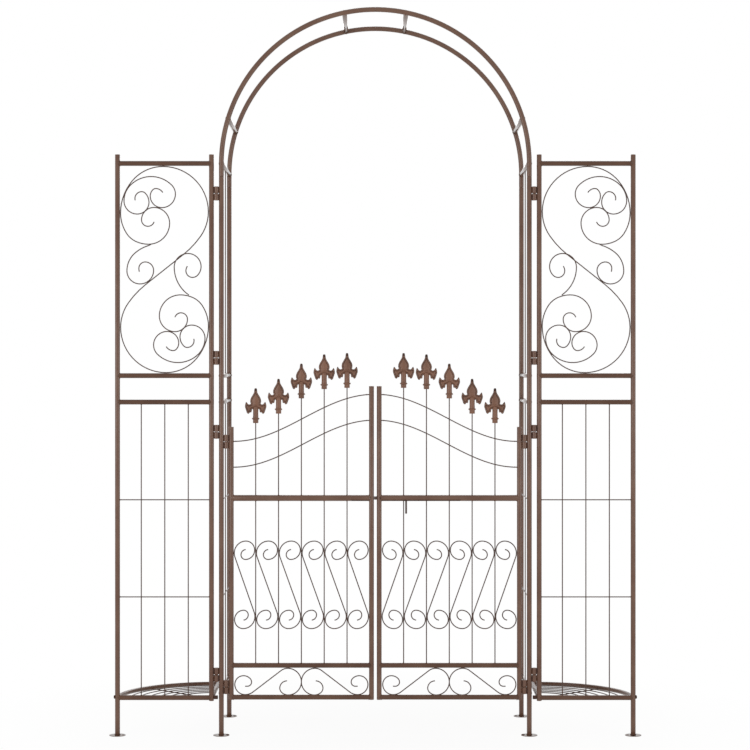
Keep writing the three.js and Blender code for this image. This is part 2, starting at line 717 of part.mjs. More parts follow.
function finial(i) {
  const right = finialOutlineShares.map(
    ([x, z]) => new THREE.Vector2((x * FINIAL_WIDTH) / 2, z * FINIAL_HEIGHT),
  );
  const left = right.slice(1).reverse().map((p) => new THREE.Vector2(-p.x, p.y));
  const blade = new THREE.ExtrudeGeometry(new THREE.Shape([...right, ...left].reverse()), {
    depth: FINIAL_BLADE_THICKNESS,
    bevelEnabled: false,
  });
  blade.translate(0, 0, -FINIAL_BLADE_THICKNESS / 2).rotateX(Math.PI / 2);
  const profile = finialStemShares.map(
    ([radius, z]) => new THREE.Vector2((radius * FINIAL_WIDTH) / 2, z * FINIAL_HEIGHT),
  );
  const stem = new THREE.LatheGeometry(profile, STEM_SIDES).rotateX(Math.PI / 2);
  const x = picketX(i);
  const z = finialBase(i);
  const bore = bar(at(x, frontY, z - OVERRUN), at(x, frontY, z + FINIAL_BORE_DEPTH), wireR + GAP, WIRE_SIDES);
  return solid(blade.translate(x, frontY, z)).add(solid(stem.translate(x, frontY, z))).subtract(bore);
}

// Slide latch: a bolt in the right middle rail and the handle screwed into it

const boltTip = -LEAF_GAP / 2 + BOLT_REST_SHORT;

// The handle's route, from the bolt's middle out of the slot and down.
function handlePoints() {
  const out = railR + HANDLE_D / 2;
  const tilt = radians(HANDLE_TILT);
  const start = new THREE.Vector2(-Math.cos(tilt), -Math.sin(tilt)).multiplyScalar(HANDLE_D / 2);
  const run = [(out - HANDLE_D / 2) / HANDLE_LENGTH];
  const bend = [HANDLE_BEND / HANDLE_LENGTH, 90 - HANDLE_TILT];
  const path = walk(start, 180 + HANDLE_TILT, [run, bend], HANDLE_LENGTH);
  const end = path[path.length - 1];
  path.push(new THREE.Vector2(end.x, -HANDLE_LENGTH));
  return path.map((p) => at(HANDLE_X, frontY + p.x, midRailHeight + p.y));
}

const latchHandle = () => bentBar(handlePoints(), HANDLE_D / 2, SPIGOT_SIDES);

function latchBolt() {
  const body = bar(
    at(boltTip, frontY, midRailHeight),
    at(boltTip + BOLT_LENGTH, frontY, midRailHeight),
    BOLT_D / 2,
  );
  const [start, next] = handlePoints();
  const inward = start.clone().sub(next).normalize().multiplyScalar(GAP);
  return body.subtract(bar(start.clone().add(inward), next, HANDLE_D / 2 + GAP, SPIGOT_SIDES));
}

// Finishes

const coats = {
  tube: () => new THREE.MeshStandardMaterial({ color: "#6f5548", roughness: 0.35, metalness: 0 }),
  wire: () => new THREE.MeshStandardMaterial({ color: "#6a5044", roughness: 0.4, metalness: 0 }),
  casting: () => new THREE.MeshStandardMaterial({ color: "#72584c", roughness: 0.45, metalness: 0 }),
  latch: () => new THREE.MeshStandardMaterial({ color: "#4e4038", roughness: 0.4, metalness: 0.2 }),
};

// Assembly: a group for the standing arch and one for each piece that swings, placed at its pin

function hungAt(x) {
  const group = new THREE.Group();
  group.position.set(x, frontY, 0);
  return group;
}

const arch = new THREE.Group();
const leftWing = hungAt(wingPinX);
const rightWing = hungAt(-wingPinX);
const leftGate = hungAt(gatePinX);
const rightGate = hungAt(-gatePinX);
const latch = hungAt(HANDLE_X);

// Adds a left-hand body to its group, or its mirror image when side is RIGHT.
const LEFT = 1;
const RIGHT = -1;

function place(group, side, name, body, coat) {
  const { vertProperties, triVerts } = body.getMesh();
  const geometry = new THREE.BufferGeometry();
  geometry.setAttribute("position", new THREE.BufferAttribute(new Float32Array(vertProperties), 3));
  const faces = side === RIGHT ? triVerts.slice().reverse() : triVerts;
  geometry.setIndex(new THREE.BufferAttribute(new Uint32Array(faces), 1));
  geometry.scale(side, 1, 1);
  geometry.translate(-group.position.x, -group.position.y, -group.position.z);
  geometry.computeVertexNormals();
  const mesh = new THREE.Mesh(geometry, coats[coat]());
  mesh.name = name;
  group.add(mesh);
}

function placePair([leftGroup, rightGroup], name, body, coat) {
  place(leftGroup, LEFT, `left_${name}`, body, coat);
  place(rightGroup, RIGHT, `right_${name}`, body, coat);
}

const archPair = [arch, arch];
placePair(archPair, "front_post", frontPost(), "tube");
placePair(archPair, "back_post", archPost(backY), "tube");
placePair(archPair, "front_foot", foot(postX, frontY), "tube");
placePair(archPair, "back_foot", foot(postX, backY), "tube");
for (const [side, y] of [["front", frontY], ["back", backY]]) {
  place(arch, LEFT, `left_${side}_hoop`, spigotHoop(y), "tube");
  place(arch, RIGHT, `right_${side}_hoop`, socketHoop(y), "tube");
}
placePair(archPair, "crown_rung", hoopRung(90 - CROWN_RUNG_ANGLE), "tube");
placePair(archPair, "shoulder_rung", hoopRung(SHOULDER_RUNG_ANGLE), "tube");
placePair(archPair, "upper_side_panel", upperSidePanel(), "tube");
placePair(archPair, "lower_side_panel", lowerSidePanel(), "tube");

const wingPair = [leftWing, rightWing];
placePair(wingPair, "wing_outer_post", wingOuterPost(), "tube");
placePair(wingPair, "wing_inner_post", wingInnerPost(), "tube");
placePair(wingPair, "wing_top_rail", wingRail(wingTopRail), "tube");
placePair(wingPair, "wing_band_rail", wingRail(BAND_TOP_HEIGHT), "tube");
placePair(wingPair, "wing_trellis", trellis(), "tube");
placePair(wingPair, "wing_scrollwork", scrollwork(), "wire");
placePair(wingPair, "wing_shelf", shelf(), "tube");
placePair(wingPair, "wing_foot", foot(outerPostX, frontY), "tube");

const gatePair = [leftGate, rightGate];
placePair(gatePair, "gate_hinge_stile", hingeStile(), "tube");
placePair(gatePair, "gate_meeting_stile", meetingStile(), "tube");
place(leftGate, LEFT, "left_gate_mid_rail", midRail(KEEPER_LENGTH), "tube");
place(rightGate, RIGHT, "right_gate_mid_rail", midRail(GUIDE_LENGTH), "tube");
placePair(gatePair, "gate_picket_panel", picketPanel(), "wire");
placePair(gatePair, "gate_scroll_panel", scrollPanel(), "wire");
placePair(gatePair, "gate_bottom_panel", bottomPanel(), "wire");
for (let i = 0; i < PICKET_COUNT; i++) {
  placePair(gatePair, `finial_${i + 1}`, finial(i), "casting");
}
place(latch, LEFT, "latch_bolt", latchBolt(), "latch");
place(latch, LEFT, "latch_handle", latchHandle(), "latch");
rightGate.add(latch);
latch.position.sub(rightGate.position);

const part = new THREE.Group();
part.add(arch, leftWing, rightWing, leftGate, rightGate);

export default part;
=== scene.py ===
# %% [markdown]
# # A garden arch with a pair of gates
# The arch is powder-coated steel tube with panels of bent wire. Nearly every piece here is a round bar
# of some kind, so the lesson is about sweeping a circle along a path, turning a profile on an axis, and
# giving brown powder coat its soft gloss.
#
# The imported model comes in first. It is the frame: each fine piece is built where its plain solid is,
# and rides on the same body, so that the gates, the wings and the bolt still move.

# %% Load the frame
import json
import math

import bmesh
import bpy
import numpy as np
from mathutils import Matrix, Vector, geometry


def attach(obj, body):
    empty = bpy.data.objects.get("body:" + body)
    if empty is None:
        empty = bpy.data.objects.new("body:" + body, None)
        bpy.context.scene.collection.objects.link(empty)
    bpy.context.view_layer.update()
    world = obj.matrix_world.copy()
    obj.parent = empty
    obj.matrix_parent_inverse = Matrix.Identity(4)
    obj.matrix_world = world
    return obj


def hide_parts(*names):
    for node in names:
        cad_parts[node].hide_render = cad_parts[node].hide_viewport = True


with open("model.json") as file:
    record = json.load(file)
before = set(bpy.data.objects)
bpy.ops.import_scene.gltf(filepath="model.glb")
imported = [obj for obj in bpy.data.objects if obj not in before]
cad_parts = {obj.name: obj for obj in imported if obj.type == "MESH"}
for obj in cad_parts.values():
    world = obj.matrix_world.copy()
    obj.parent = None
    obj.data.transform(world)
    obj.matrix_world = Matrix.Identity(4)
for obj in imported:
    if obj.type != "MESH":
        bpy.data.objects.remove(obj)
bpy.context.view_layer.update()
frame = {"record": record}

# %% [markdown]
# ## Camera
# A catalogue picture of a tall object is taken from far away with a long lens, level, at half its
# height. The verticals then stay upright. The lens follows from two lengths: how far the camera
# stands from the gates, and how wide the picture is there. A small shift moves the picture down
# without tilting the camera. It stands a millimetre left of the middle, as the photograph shows.
# These lengths are metres, as all of Blender's own are.

# %% Camera
GATE_PLANE = -0.1775
CAMERA_DISTANCE = 6.57
PICTURE_WIDTH = 2.2725
CAMERA_X, CAMERA_HEIGHT = -0.001, 1.128
PICTURE_MIDDLE = 1.092

lens = bpy.data.cameras.new("long_lens")
lens.lens = lens.sensor_width * CAMERA_DISTANCE / PICTURE_WIDTH
lens.shift_y = (PICTURE_MIDDLE - CAMERA_HEIGHT) / PICTURE_WIDTH
camera = bpy.data.objects.new("camera", lens)
camera.location = (CAMERA_X, GATE_PLANE - CAMERA_DISTANCE, CAMERA_HEIGHT)
camera.rotation_euler = (math.pi / 2, 0, 0)
bpy.context.scene.collection.objects.link(camera)
bpy.context.scene.camera = camera
print("lens", round(lens.lens), "mm")

# %% [markdown]
# ## Sizes
# All sizes are millimetres, the same as the solids have. The left side is built and mirrored, as a
# workshop would turn its jig over. X runs across the arch, Y from front to back and Z up. Several
# pieces share the sizes below. The others stand where they are first needed.
#
# The wires are 2.8 mm thick and drawn 3.4 mm, because a render averages light over each pixel, and a
# bar finer than a pixel then looks thinner than in a photograph that a camera has sharpened.

# %% Sizes
MM = 0.001  # in metres, which Blender works in
X_AXIS, Y_AXIS, Z_AXIS = (1, 0, 0), (0, 1, 0), (0, 0, 1)
TUBE_R, RAIL_R, WIRE_R = 7.5, 9.15, 1.7
BARREL_R = 7.5
PIN_OFFSET = TUBE_R + BARREL_R  # from a tube's axis to the hinge pin beside it
FRONT_Y, BACK_Y = -177.5, 177.5
POST_X = -466.5
WING_PIN_X, GATE_PIN_X = POST_X - PIN_OFFSET, POST_X + PIN_OFFSET
INNER_X, OUTER_X = WING_PIN_X - PIN_OFFSET, -781.2
HINGE_STILE_X, MEETING_STILE_X = GATE_PIN_X + PIN_OFFSET, -11.7
SPRING = 1733  # height of the hoops' centres
BAND_TOP, BAND_FOOT = 1090, 1010
SHELF_Z = 114.5
CROSS_WIRES = (419.3, 713.8)
BEHIND = 2 * WIRE_R - 0.3  # from a wire to the one that crosses behind it, a little sunk into it
WIRE_END = 4  # from a post's axis to the end of a wire, hidden inside the post
print("posts:", -2 * POST_X, "mm from axis to axis")

# %% [markdown]
# ## Round bars
# A straight bar could be Blender's own cylinder, but its ends would be razor sharp. Here a profile is
# turned on an axis instead, and each end gets a small round-over that catches the light, as a sawn and
# coated tube end does. The same function later makes barrels, bolts, nuts and the finials' stems.

# %% Turned and straight bars
TUBE_FACETS, WIRE_FACETS = 24, 12
THICK_BAR = 4  # a bar of a greater radius gets a tube's facets
HALFWAY = 0.3  # how far in a quarter round is at its middle, as a share of its radius


def unit(vectors):
    """The same directions, one long."""
    vectors = np.asarray(vectors, float)
    return vectors / np.linalg.norm(vectors, axis=-1, keepdims=True)


def strip(rings, closed=False):
    """Corners and faces of a skin over rings of equal count, capped unless closed."""
    count, sides = len(rings), len(rings[0])
    corners = np.concatenate(rings)
    faces = []
    for i in range(count if closed else count - 1):
        a, b = i * sides, (i + 1) % count * sides
        faces += [(a + j, a + (j + 1) % sides, b + (j + 1) % sides, b + j) for j in range(sides)]
    if not closed:
        faces += [tuple(range(sides))[::-1], tuple(range((count - 1) * sides, count * sides))]
    return corners, faces


def turned(profile, base, along=Z_AXIS, sides=TUBE_FACETS, closed=False):
    """A profile of (radius, height) pairs turned about an axis that starts at base. Closed makes a ring."""
    along = unit(along)
    side = unit(np.cross(along, Y_AXIS if abs(along[1]) < 0.9 else X_AXIS))
    other = np.cross(along, side)
    angles = np.arange(sides) * 2 * math.pi / sides + math.pi / sides
    circle = np.outer(np.cos(angles), side) + np.outer(np.sin(angles), other)
    return strip([np.asarray(base, float) + along * h + circle * r for r, h in profile], closed)


def facets(radius):
    """How many sides a bar gets."""
    return TUBE_FACETS if radius > THICK_BAR else WIRE_FACETS


def straight(start, end, radius, sides=None, edge=0.7):
    """A straight round bar with both ends rounded over."""
    length = np.linalg.norm(np.subtract(end, start))
    half = [(radius - edge, 0), (radius - HALFWAY * edge, HALFWAY * edge), (radius, edge)]
    profile = half + [(r, length - h) for r, h in half[::-1]]
    return turned(profile, start, np.subtract(end, start), sides or facets(radius))


def standing(x, foot, top, radius=TUBE_R):
    """A straight bar that stands in the plane of the gates."""
    return straight((x, FRONT_Y, foot), (x, FRONT_Y, top), radius)


print("a tube has", len(straight((0, 0, 0), (0, 0, 100), TUBE_R)[1]), "faces")

# %% [markdown]
# ## Bent bars
# A scroll is a wire pulled round a former. Blender's curve bevel could sweep it, but then beads, tacks
# and wires could not be one mesh. So the circle is carried along the path by hand: at each point the
# side direction is turned only as much as the path turns, which keeps the wire free of twist.

# %% Bent bars
def bent(path, radius, sides=None, closed=False, edge=0.5):
    """A round bar along a path. radius is one number, or one for each point."""
    path = np.asarray(path, float)
    radii = np.full(len(path), float(radius)) if np.isscalar(radius) else np.asarray(radius, float)
    sides = sides or facets(radii.max())
    if not closed:
        first, last = unit(path[1] - path[0]) * edge, unit(path[-1] - path[-2]) * edge
        path = np.vstack([path[0], path[0] + first, path[1:-1], path[-1] - last, path[-1]])
        radii = np.concatenate([[radii[0] - edge], radii[:-1], [radii[-1], radii[-1] - edge]])
    ahead, behind = np.roll(path, -1, 0) - path, path - np.roll(path, 1, 0)
    if not closed:
        ahead[-1], behind[0] = behind[-1], ahead[0]
    tangents = unit(unit(ahead) + unit(behind))
    side = np.cross(tangents[0], (0.0, 1.0, 0.0))
    if np.linalg.norm(side) < 0.1:
        side = np.cross(tangents[0], (1.0, 0.0, 0.0))
    angles = np.arange(sides) * 2 * math.pi / sides
    rings = []
    for point, tangent, r in zip(path, tangents, radii):
        side = unit(side - tangent * side.dot(tangent))
        up = np.cross(tangent, side)
        rings.append(point + r * (np.outer(np.cos(angles), side) + np.outer(np.sin(angles), up)))
    return strip(rings, closed)


square = [(0, 0, 0), (9, 0, 0), (9, 0, 9), (0, 0, 9)]
print("a bar round a square has", len(bent(square, 1, closed=True)[1]), "faces")

# %% [markdown]
# ## A pen for scrolls
# A bender makes a scroll from runs and arcs that follow on without a kink. A pen that walks forward
# and turns draws the same path, and a scroll is then a short list: how far, or how tight and how many
# degrees. The numbers are shares of the panel's size, so the scroll grows with its panel.

# %% Walked paths
BEND_STEP = 6  # degrees of bend to each facet


def walk(start, heading, moves, size):
    """A pen's path: (length,) runs and (radius, degrees) bends, in shares of size; left is positive."""
    here, heading = np.array(start, float), math.radians(heading)
    points = [here.copy()]
    for share, *bend in moves:
        if not bend:
            here = here + share * size * np.array([math.cos(heading), math.sin(heading)])
            points.append(here)
            continue
        steps = math.ceil(abs(bend[0]) / BEND_STEP)
        turn = math.radians(bend[0]) / steps
        chord = 2 * share * size * math.sin(abs(turn) / 2)
        for _ in range(steps):
            middle = heading + turn / 2
            here = here + chord * np.array([math.cos(middle), math.sin(middle)])
            heading += turn
            points.append(here)
    return np.array(points)


def two_fold(heading, moves, size):
    """An S: the same path walked both ways from the origin."""
    half = walk((0, 0), heading, moves, size)[1:]
    return np.vstack([-half[::-1], half])


def upright(path, centre_x, centre_z):
    """A flat path stood up in the plane of the gates."""
    return np.column_stack([path[:, 0] + centre_x, np.full(len(path), FRONT_Y), path[:, 1] + centre_z])


print("a half circle has", len(walk((0, 0), 0, [(1, 180)], 1)), "points")

# %% [markdown]
# ## Welds
# Where a tube butts against another, the bead follows a saddle: the end of one round bar on the side
# of another. Thin wires are only tacked, with a small blob at the crossing. Coated welds look soft and
# darker; their dark coat is partly painted shade, the shade of the corner that they fill.

# %% Weld beads and tacks
BEAD_R, BEAD_FACETS = 1.3, 8
RIPPLES, RIPPLE_SHARE = 15, 0.12  # ripples round a bar, and their depth as a share of the bead
ROUND_A_BAR = np.linspace(0, 2 * math.pi, 48, endpoint=False)
SADDLE_REACH = 0.97 * TUBE_R  # a bead can't get past the side of the tube that it lies on
TACK_RINGS, TACK_FACETS = 9, 10
BLUNT = 0.02  # keeps a tack's two ends from being points


def bead_through(points, bead=BEAD_R):
    """A closed bead through points round a bar, with the ripples that a welder's hand leaves."""
    return bent(points, bead * (1 + RIPPLE_SHARE * np.sin(ROUND_A_BAR * RIPPLES)), BEAD_FACETS, closed=True)


def saddle_bead(start, along, main_axis, branch_r=TUBE_R):
    """A bead round the end of a branch that leaves a tube's axis at start."""
    along, main_axis = unit(along), unit(main_axis)
    across = np.cross(along, main_axis)
    reach = min(branch_r, SADDLE_REACH) * np.sin(ROUND_A_BAR)
    rise = np.sqrt(TUBE_R**2 - reach**2)
    ring = np.outer(branch_r * np.cos(ROUND_A_BAR), main_axis) + np.outer(reach, across)
    return bead_through(np.asarray(start) + ring + np.outer(rise, along))


def ring_bead(centre, radius, bead=BEAD_R):
    """A bead laid round an upright bar or a hole."""
    ring = np.column_stack([np.cos(ROUND_A_BAR), np.sin(ROUND_A_BAR), 0 * ROUND_A_BAR]) * radius
    return bead_through(np.asarray(centre) + ring, bead)


def tack(centre, along, length=4.5, thick=1.5):
    """A small weld blob, long in one direction."""
    rises = np.cos(np.linspace(math.pi, 0, TACK_RINGS))
    profile = [(thick * math.sqrt(max(1 - h * h, BLUNT)), h * length / 2) for h in rises]
    return turned(profile, centre, along, TACK_FACETS)


def cross_tack(between, along=Z_AXIS):
    """The shorter blob between two wires that cross."""
    return tack(between, along, length=3.8)


print("a saddle bead has", len(saddle_bead((0, 0, 0), X_AXIS, Z_AXIS)[1]), "faces")

# %% [markdown]
# ## Level rails
# A rail between two posts has its ends coped: cut hollow, so that they fit round the posts. A plain
# end pushed into the post would look the same from far off, but it would meet the post's skin in
# flickering light where the two surfaces touch. Each point of the end is drawn back as far as the
# post's own curve asks.

# %% Level rails
COPE = 0.95  # how far out in the post the cut lies, as a share of the post's radius


def coped(from_x, to_x, z):
    """A level tube between two posts, with both ends cut to fit round them."""
    angles = (np.arange(TUBE_FACETS) + 0.5) * 2 * math.pi / TUBE_FACETS
    across, up = TUBE_R * np.cos(angles), TUBE_R * np.sin(angles)
    reach = COPE * np.sqrt(TUBE_R**2 - across**2)
    rings = [np.column_stack([x, FRONT_Y + across, z + up]) for x in (from_x + reach, to_x - reach)]
    return strip(rings)


def rail_beads(from_x, to_x, z, rail_r=TUBE_R):
    """Beads at both ends of a level rail between two posts."""
    ends = ((from_x, 1), (to_x, -1))
    return [saddle_bead((x, FRONT_Y, z), (way, 0, 0), Z_AXIS, rail_r) for x, way in ends]


def welded_rail(from_x, to_x, z):
    """A coped rail with its two beads."""
    return [coped(from_x, to_x, z), *rail_beads(from_x, to_x, z)]


print("a welded rail has", sum(len(faces) for _, faces in welded_rail(0, 100, 0)), "faces")

# %% [markdown]
# ## Brown powder coat
# The arch is sprayed with dry polyester powder, which melts in an oven to a skin about 0.08 mm thick.
# It is a plastic: no metallic shine, IOR about 1.5, semi-gloss. It dries to "orange peel", shallow
# waves 2 to 4 mm across, and the brown drifts a little over a hand's breadth where the powder lay
# thicker. That is four noise textures: drift and specks for the colour, haze for the roughness, and
# peel for the bump.
#
# Every finish shares that recipe. The level tubes get a deeper brown than the upright ones, which is
# painted shade, since level tubes catch less light. On the wires the coat pulls tight and looks darkest.
# The castings came out of sand, so their skin is grainier. The pressed feet and the rungs are so smooth
# that they mirror the white studio at a low angle. Welds get the darkest coat, which is partly painted
# shade: it stands for the shade in the corners they fill, and it also darkens the finials' rims and
# grooves, the rims of the peg holes and the lining of the latch's bore.

# %% Material helpers
def linear(hex_colour):
    """An sRGB hex colour as linear RGBA, which the shader sockets take."""
    channels = [int(hex_colour[i : i + 2], 16) / 255 for i in (1, 3, 5)]
    return [c / 12.92 if c <= 0.04045 else ((c + 0.055) / 1.055) ** 2.4 for c in channels] + [1]


def add_node(tree, kind, settings=None):
    """Adds a node. settings fill its properties and its inputs; another node's output is joined."""
    node = tree.nodes.new(kind)
    for key, value in (settings or {}).items():
        if isinstance(key, str) and key not in node.inputs:
            setattr(node, key, value)
        elif isinstance(value, bpy.types.NodeSocket):
            tree.links.new(value, node.inputs[key])
        else:
            node.inputs[key].default_value = value
    return node


print("white is", linear("#ffffff"), "in linear light")

# %% [markdown]
# ## The finishes
# The drift and the haze have one scale for all finishes, since they come from the spraying. The peel
# and the specks depend on the steel below, so each finish gives its own, in millimetres. The ramp's two
# ends are set where the noise really reaches, or most of the coat would be one flat brown.

# %% Powder coats
DRIFT_MM, HAZE_MM = 90, 25
RAMP_FROM, RAMP_TO = 0.42, 0.82
COAT_IOR, COAT_SPECULAR = 1.5, 0.4
PEEL_STRENGTH = 0.6


def powder_coat(name, thick, thin, roughness, peel_mm, peel_depth_mm, speck_mm=0.9, speck_share=0.25):
    """Baked powder: thick and thin are the two browns it drifts between, roughness a (low, high) pair."""
    coat = bpy.data.materials.new(name)
    coat.use_nodes = True
    tree = coat.node_tree
    place = add_node(tree, "ShaderNodeTexCoord").outputs["Object"]
    patterns = (("drift", DRIFT_MM, 3), ("speck", speck_mm, 2), ("haze", HAZE_MM, 4), ("peel", peel_mm, 2))
    noise = {}
    for use, size, detail in patterns:
        settings = {"Vector": place, "Scale": 1000 / size, "Detail": detail}
        noise[use] = add_node(tree, "ShaderNodeTexNoise", settings).outputs["Fac"]
    settings = {"operation": "MULTIPLY_ADD", 0: noise["speck"], 1: speck_share, 2: noise["drift"]}
    blend = add_node(tree, "ShaderNodeMath", settings)
    ramp = add_node(tree, "ShaderNodeValToRGB", {"Fac": blend.outputs[0]})
    low, high = ramp.color_ramp.elements
    low.position, low.color = RAMP_FROM, linear(thick)
    high.position, high.color = RAMP_TO, linear(thin)
    settings = {"Value": noise["haze"], "To Min": roughness[0], "To Max": roughness[1]}
    gloss = add_node(tree, "ShaderNodeMapRange", settings)
    settings = {"Height": noise["peel"], "Strength": PEEL_STRENGTH, "Distance": peel_depth_mm / 1000}
    bump = add_node(tree, "ShaderNodeBump", settings)
    shader = tree.nodes["Principled BSDF"]
    tree.links.new(ramp.outputs["Color"], shader.inputs["Base Color"])
    tree.links.new(gloss.outputs["Result"], shader.inputs["Roughness"])
    tree.links.new(bump.outputs["Normal"], shader.inputs["Normal"])
    shader.inputs["IOR"].default_value = COAT_IOR
    shader.inputs["Specular IOR Level"].default_value = COAT_SPECULAR
    return coat


coats = {
    "upright": powder_coat("powder_coat_on_upright_tube", "#634435", "#745747", (0.22, 0.34), 3, 0.02),
    # The level tubes' deeper brown is painted shade: level tubes take less of the light.
    "level": powder_coat("powder_coat_on_level_tube_painted_shade", "#50311f", "#61422f", (0.16, 0.26), 3, 0.012),
    "wire": powder_coat("powder_coat_on_wire", "#443028", "#564036", (0.26, 0.36), 2, 0.012),
    "casting": powder_coat("powder_coat_on_casting", "#5e3e2e", "#805a46", (0.3, 0.44), 1.4, 0.12, 1.6, 0.5),
    "smooth": powder_coat("powder_coat_on_smooth_steel", "#5e4333", "#715444", (0.06, 0.12), 4, 0.006),
    "latch": powder_coat("powder_coat_on_latch", "#42312a", "#533f36", (0.3, 0.42), 2, 0.03),
    # The welds' darkest coat is partly painted shade, and it also colours faces that only stand in for shade.
    "weld": powder_coat("powder_coat_on_welds_and_painted_shade", "#341d12", "#482a1b", (0.65, 0.8), 1.6, 0.04),
}
print("finishes:", ", ".join(coat.name for coat in coats.values()))

# %% [markdown]
# ## From bars to pieces
# A piece is one mesh made of many bars, as a welded panel is. It stands for the plain solid of the
# same name and rides on that solid's body. Bars, wires and welds are three groups of faces, each with
# its own coat. Smooth shading rounds the bars, and edges sharper than 40 degrees stay crisp.

# %% Pieces
BODY_OF = {node: body for body, nodes in frame["record"]["behaviour"]["bodies"].items() for node in nodes}
CRISP = math.radians(40)


def gather(parts):
    """Several meshes' corners and faces as one."""
    corners, faces, start = [], [], 0
    for part_corners, part_faces in parts:
        corners.append(part_corners)
        faces += [tuple(start + i for i in face) for face in part_faces]
        start += len(part_corners)
    return np.concatenate(corners), faces


def piece(node, bars=(), wires=(), welds=(), finish="upright", mirrored=False):
    """One mesh of bars, wires and welds that stands for a solid."""
    # The welds group also carries painted shade: the finials' rims and grooves, the peg holes' rims and the
    # bore's lining.
    groups = {finish: bars, "wire": wires, "weld": welds}
    corners, faces = gather([part for group in groups.values() for part in group])
    if mirrored:
        corners = corners * (-1, 1, 1)
    mesh = bpy.data.meshes.new(node)
    mesh.from_pydata((corners * MM).tolist(), [], faces)
    which = []
    for i, (coat, group) in enumerate(groups.items()):
        mesh.materials.append(coats[coat])
        which += [i] * sum(len(part_faces) for _, part_faces in group)
    mesh.polygons.foreach_set("material_index", which)
    work = bmesh.new()
    work.from_mesh(mesh)
    bmesh.ops.recalc_face_normals(work, faces=work.faces)
    work.to_mesh(mesh)
    work.free()
    mesh.shade_smooth()
    mesh.set_sharp_from_angle(angle=CRISP)
    thing = bpy.data.objects.new("fine_" + node, mesh)
    bpy.context.scene.collection.objects.link(thing)
    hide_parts(node)
    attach(thing, BODY_OF[node])


def pair(node, bars=(), wires=(), welds=(), finish="upright"):
    """A left piece and its mirror image."""
    for side in ("left", "right"):
        piece(f"{side}_{node}", bars, wires, welds, finish, mirrored=side == "right")


print("bodies:", ", ".join(sorted(set(BODY_OF.values()))))

# %% [markdown]
# ## Hinge barrels
# A lift-off hinge is a short length of thick tube, sawn in two. The lower half with its pin is welded
# to the post, and the upper half, welded to the gate, drops over it. Each half is a turned profile
# with chamfered ends, and where they meet the wide chamfers leave a small notch of light. Two beads
# run down each half, one in front and one behind the line where barrel and tube touch.

# %% Hinge barrels
WING_HINGES = (184, 920, 1144, 1642)
GATE_HINGES = (147, 890)
BARREL_HALF = 21
SPLIT = 0.35  # from the hinge's middle to either half
NOTCH, CHAMFER = 1.6, 0.9  # the chamfers at the split and at the outer end
SEAM_BEAD_R = 2.6
SEAM_BEAD_Y = 4.6  # from the hinge's middle plane to a bead
SEAM_OUT, SEAM_SHORT = 0.1, 1  # how far a bead stands out, and stops short of the chamfers
SEAM_POINTS, SEAM_FACETS = 26, 10
SEAM_RIPPLE, RIPPLE_TURN = 0.08, 2.6  # depth, and radians to each millimetre


def barrel(pin_x, tube_x, z, upper):
    """One half of a hinge and its two beads."""
    low, high = (SPLIT, BARREL_HALF) if upper else (-BARREL_HALF, -SPLIT)
    foot, top = (NOTCH, CHAMFER) if upper else (CHAMFER, NOTCH)
    length = high - low
    profile = [(BARREL_R - foot, 0), (BARREL_R, foot), (BARREL_R, length - top), (BARREL_R - top, length)]
    seam_x = tube_x + math.copysign(TUBE_R + SEAM_OUT, pin_x - tube_x)
    heights = np.linspace(z + low + foot + SEAM_SHORT, z + high - top - SEAM_SHORT, SEAM_POINTS)
    radii = SEAM_BEAD_R + SEAM_RIPPLE * np.sin(heights * RIPPLE_TURN)
    # The beads' darkest coat is also painted shade, for the groove between barrel and tube.
    beads = [
        bent([(seam_x, y, height) for height in heights], radii, SEAM_FACETS)
        for y in (FRONT_Y - SEAM_BEAD_Y, FRONT_Y + SEAM_BEAD_Y)
    ]
    return turned(profile, (pin_x, FRONT_Y, z + low), sides=2 * TUBE_FACETS), beads


def barrels(pin_x, tube_x, heights, upper):
    """The halves on one tube, and all their beads."""
    made = [barrel(pin_x, tube_x, z, upper) for z in heights]
    return [body for body, _ in made], [bead for _, beads in made for bead in beads]


print("hinges:", 2 * len(WING_HINGES), "on the wings,", 2 * len(GATE_HINGES), "on the gates")

# %% [markdown]
# ## Foot plates
# Each post stands on a pressed steel disc with a hole for a ground peg. A flat curve with a second
# outline inside it fills as a plate with a hole, and the curve's own bevel rounds the pressed edge,
# which is quicker than cutting a hole in a mesh.

# %% Foot plates
FOOT_R, FOOT_THICK, FOOT_EDGE = 25, 2, 0.9
PEG_X, PEG_R = 17, 4  # the peg's hole, from the post's axis
BEAD_OUT = 0.4  # how far a foot's bead stands off its corner


def disc_outline(radius, centre_x=0, count=48):
    """Points round a circle."""
    angles = np.arange(count) * 2 * math.pi / count
    return [(centre_x + radius * math.cos(a), radius * math.sin(a)) for a in angles]


def plate(outlines, thickness, edge):
    """A flat plate with rounded edges, its underside at zero. Outlines inside others are holes."""
    curve = bpy.data.curves.new("plate", "CURVE")
    curve.dimensions, curve.fill_mode = "2D", "BOTH"
    curve.extrude, curve.bevel_depth = thickness / 2 - edge, edge
    curve.bevel_resolution, curve.offset = 2, -edge
    for outline in outlines:
        spline = curve.splines.new("POLY")
        spline.points.add(len(outline) - 1)
        for point, (x, y) in zip(spline.points, outline):
            point.co = (x, y, 0, 1)
        spline.use_cyclic_u = True
    thing = bpy.data.objects.new("plate", curve)
    mesh = bpy.data.meshes.new_from_object(thing)
    corners = np.array([v.co[:] for v in mesh.vertices]) + (0, 0, thickness / 2)
    faces = [tuple(p.vertices) for p in mesh.polygons]
    bpy.data.objects.remove(thing)
    bpy.data.meshes.remove(mesh)
    return corners, faces


def moved(part, offset):
    """The same corners and faces in another place."""
    return part[0] + np.asarray(offset, float), part[1]


def foot_bead(x, y):
    """The bead round a post where it meets its foot plate."""
    return ring_bead((x, y, FOOT_THICK + BEAD_OUT), TUBE_R + BEAD_OUT)


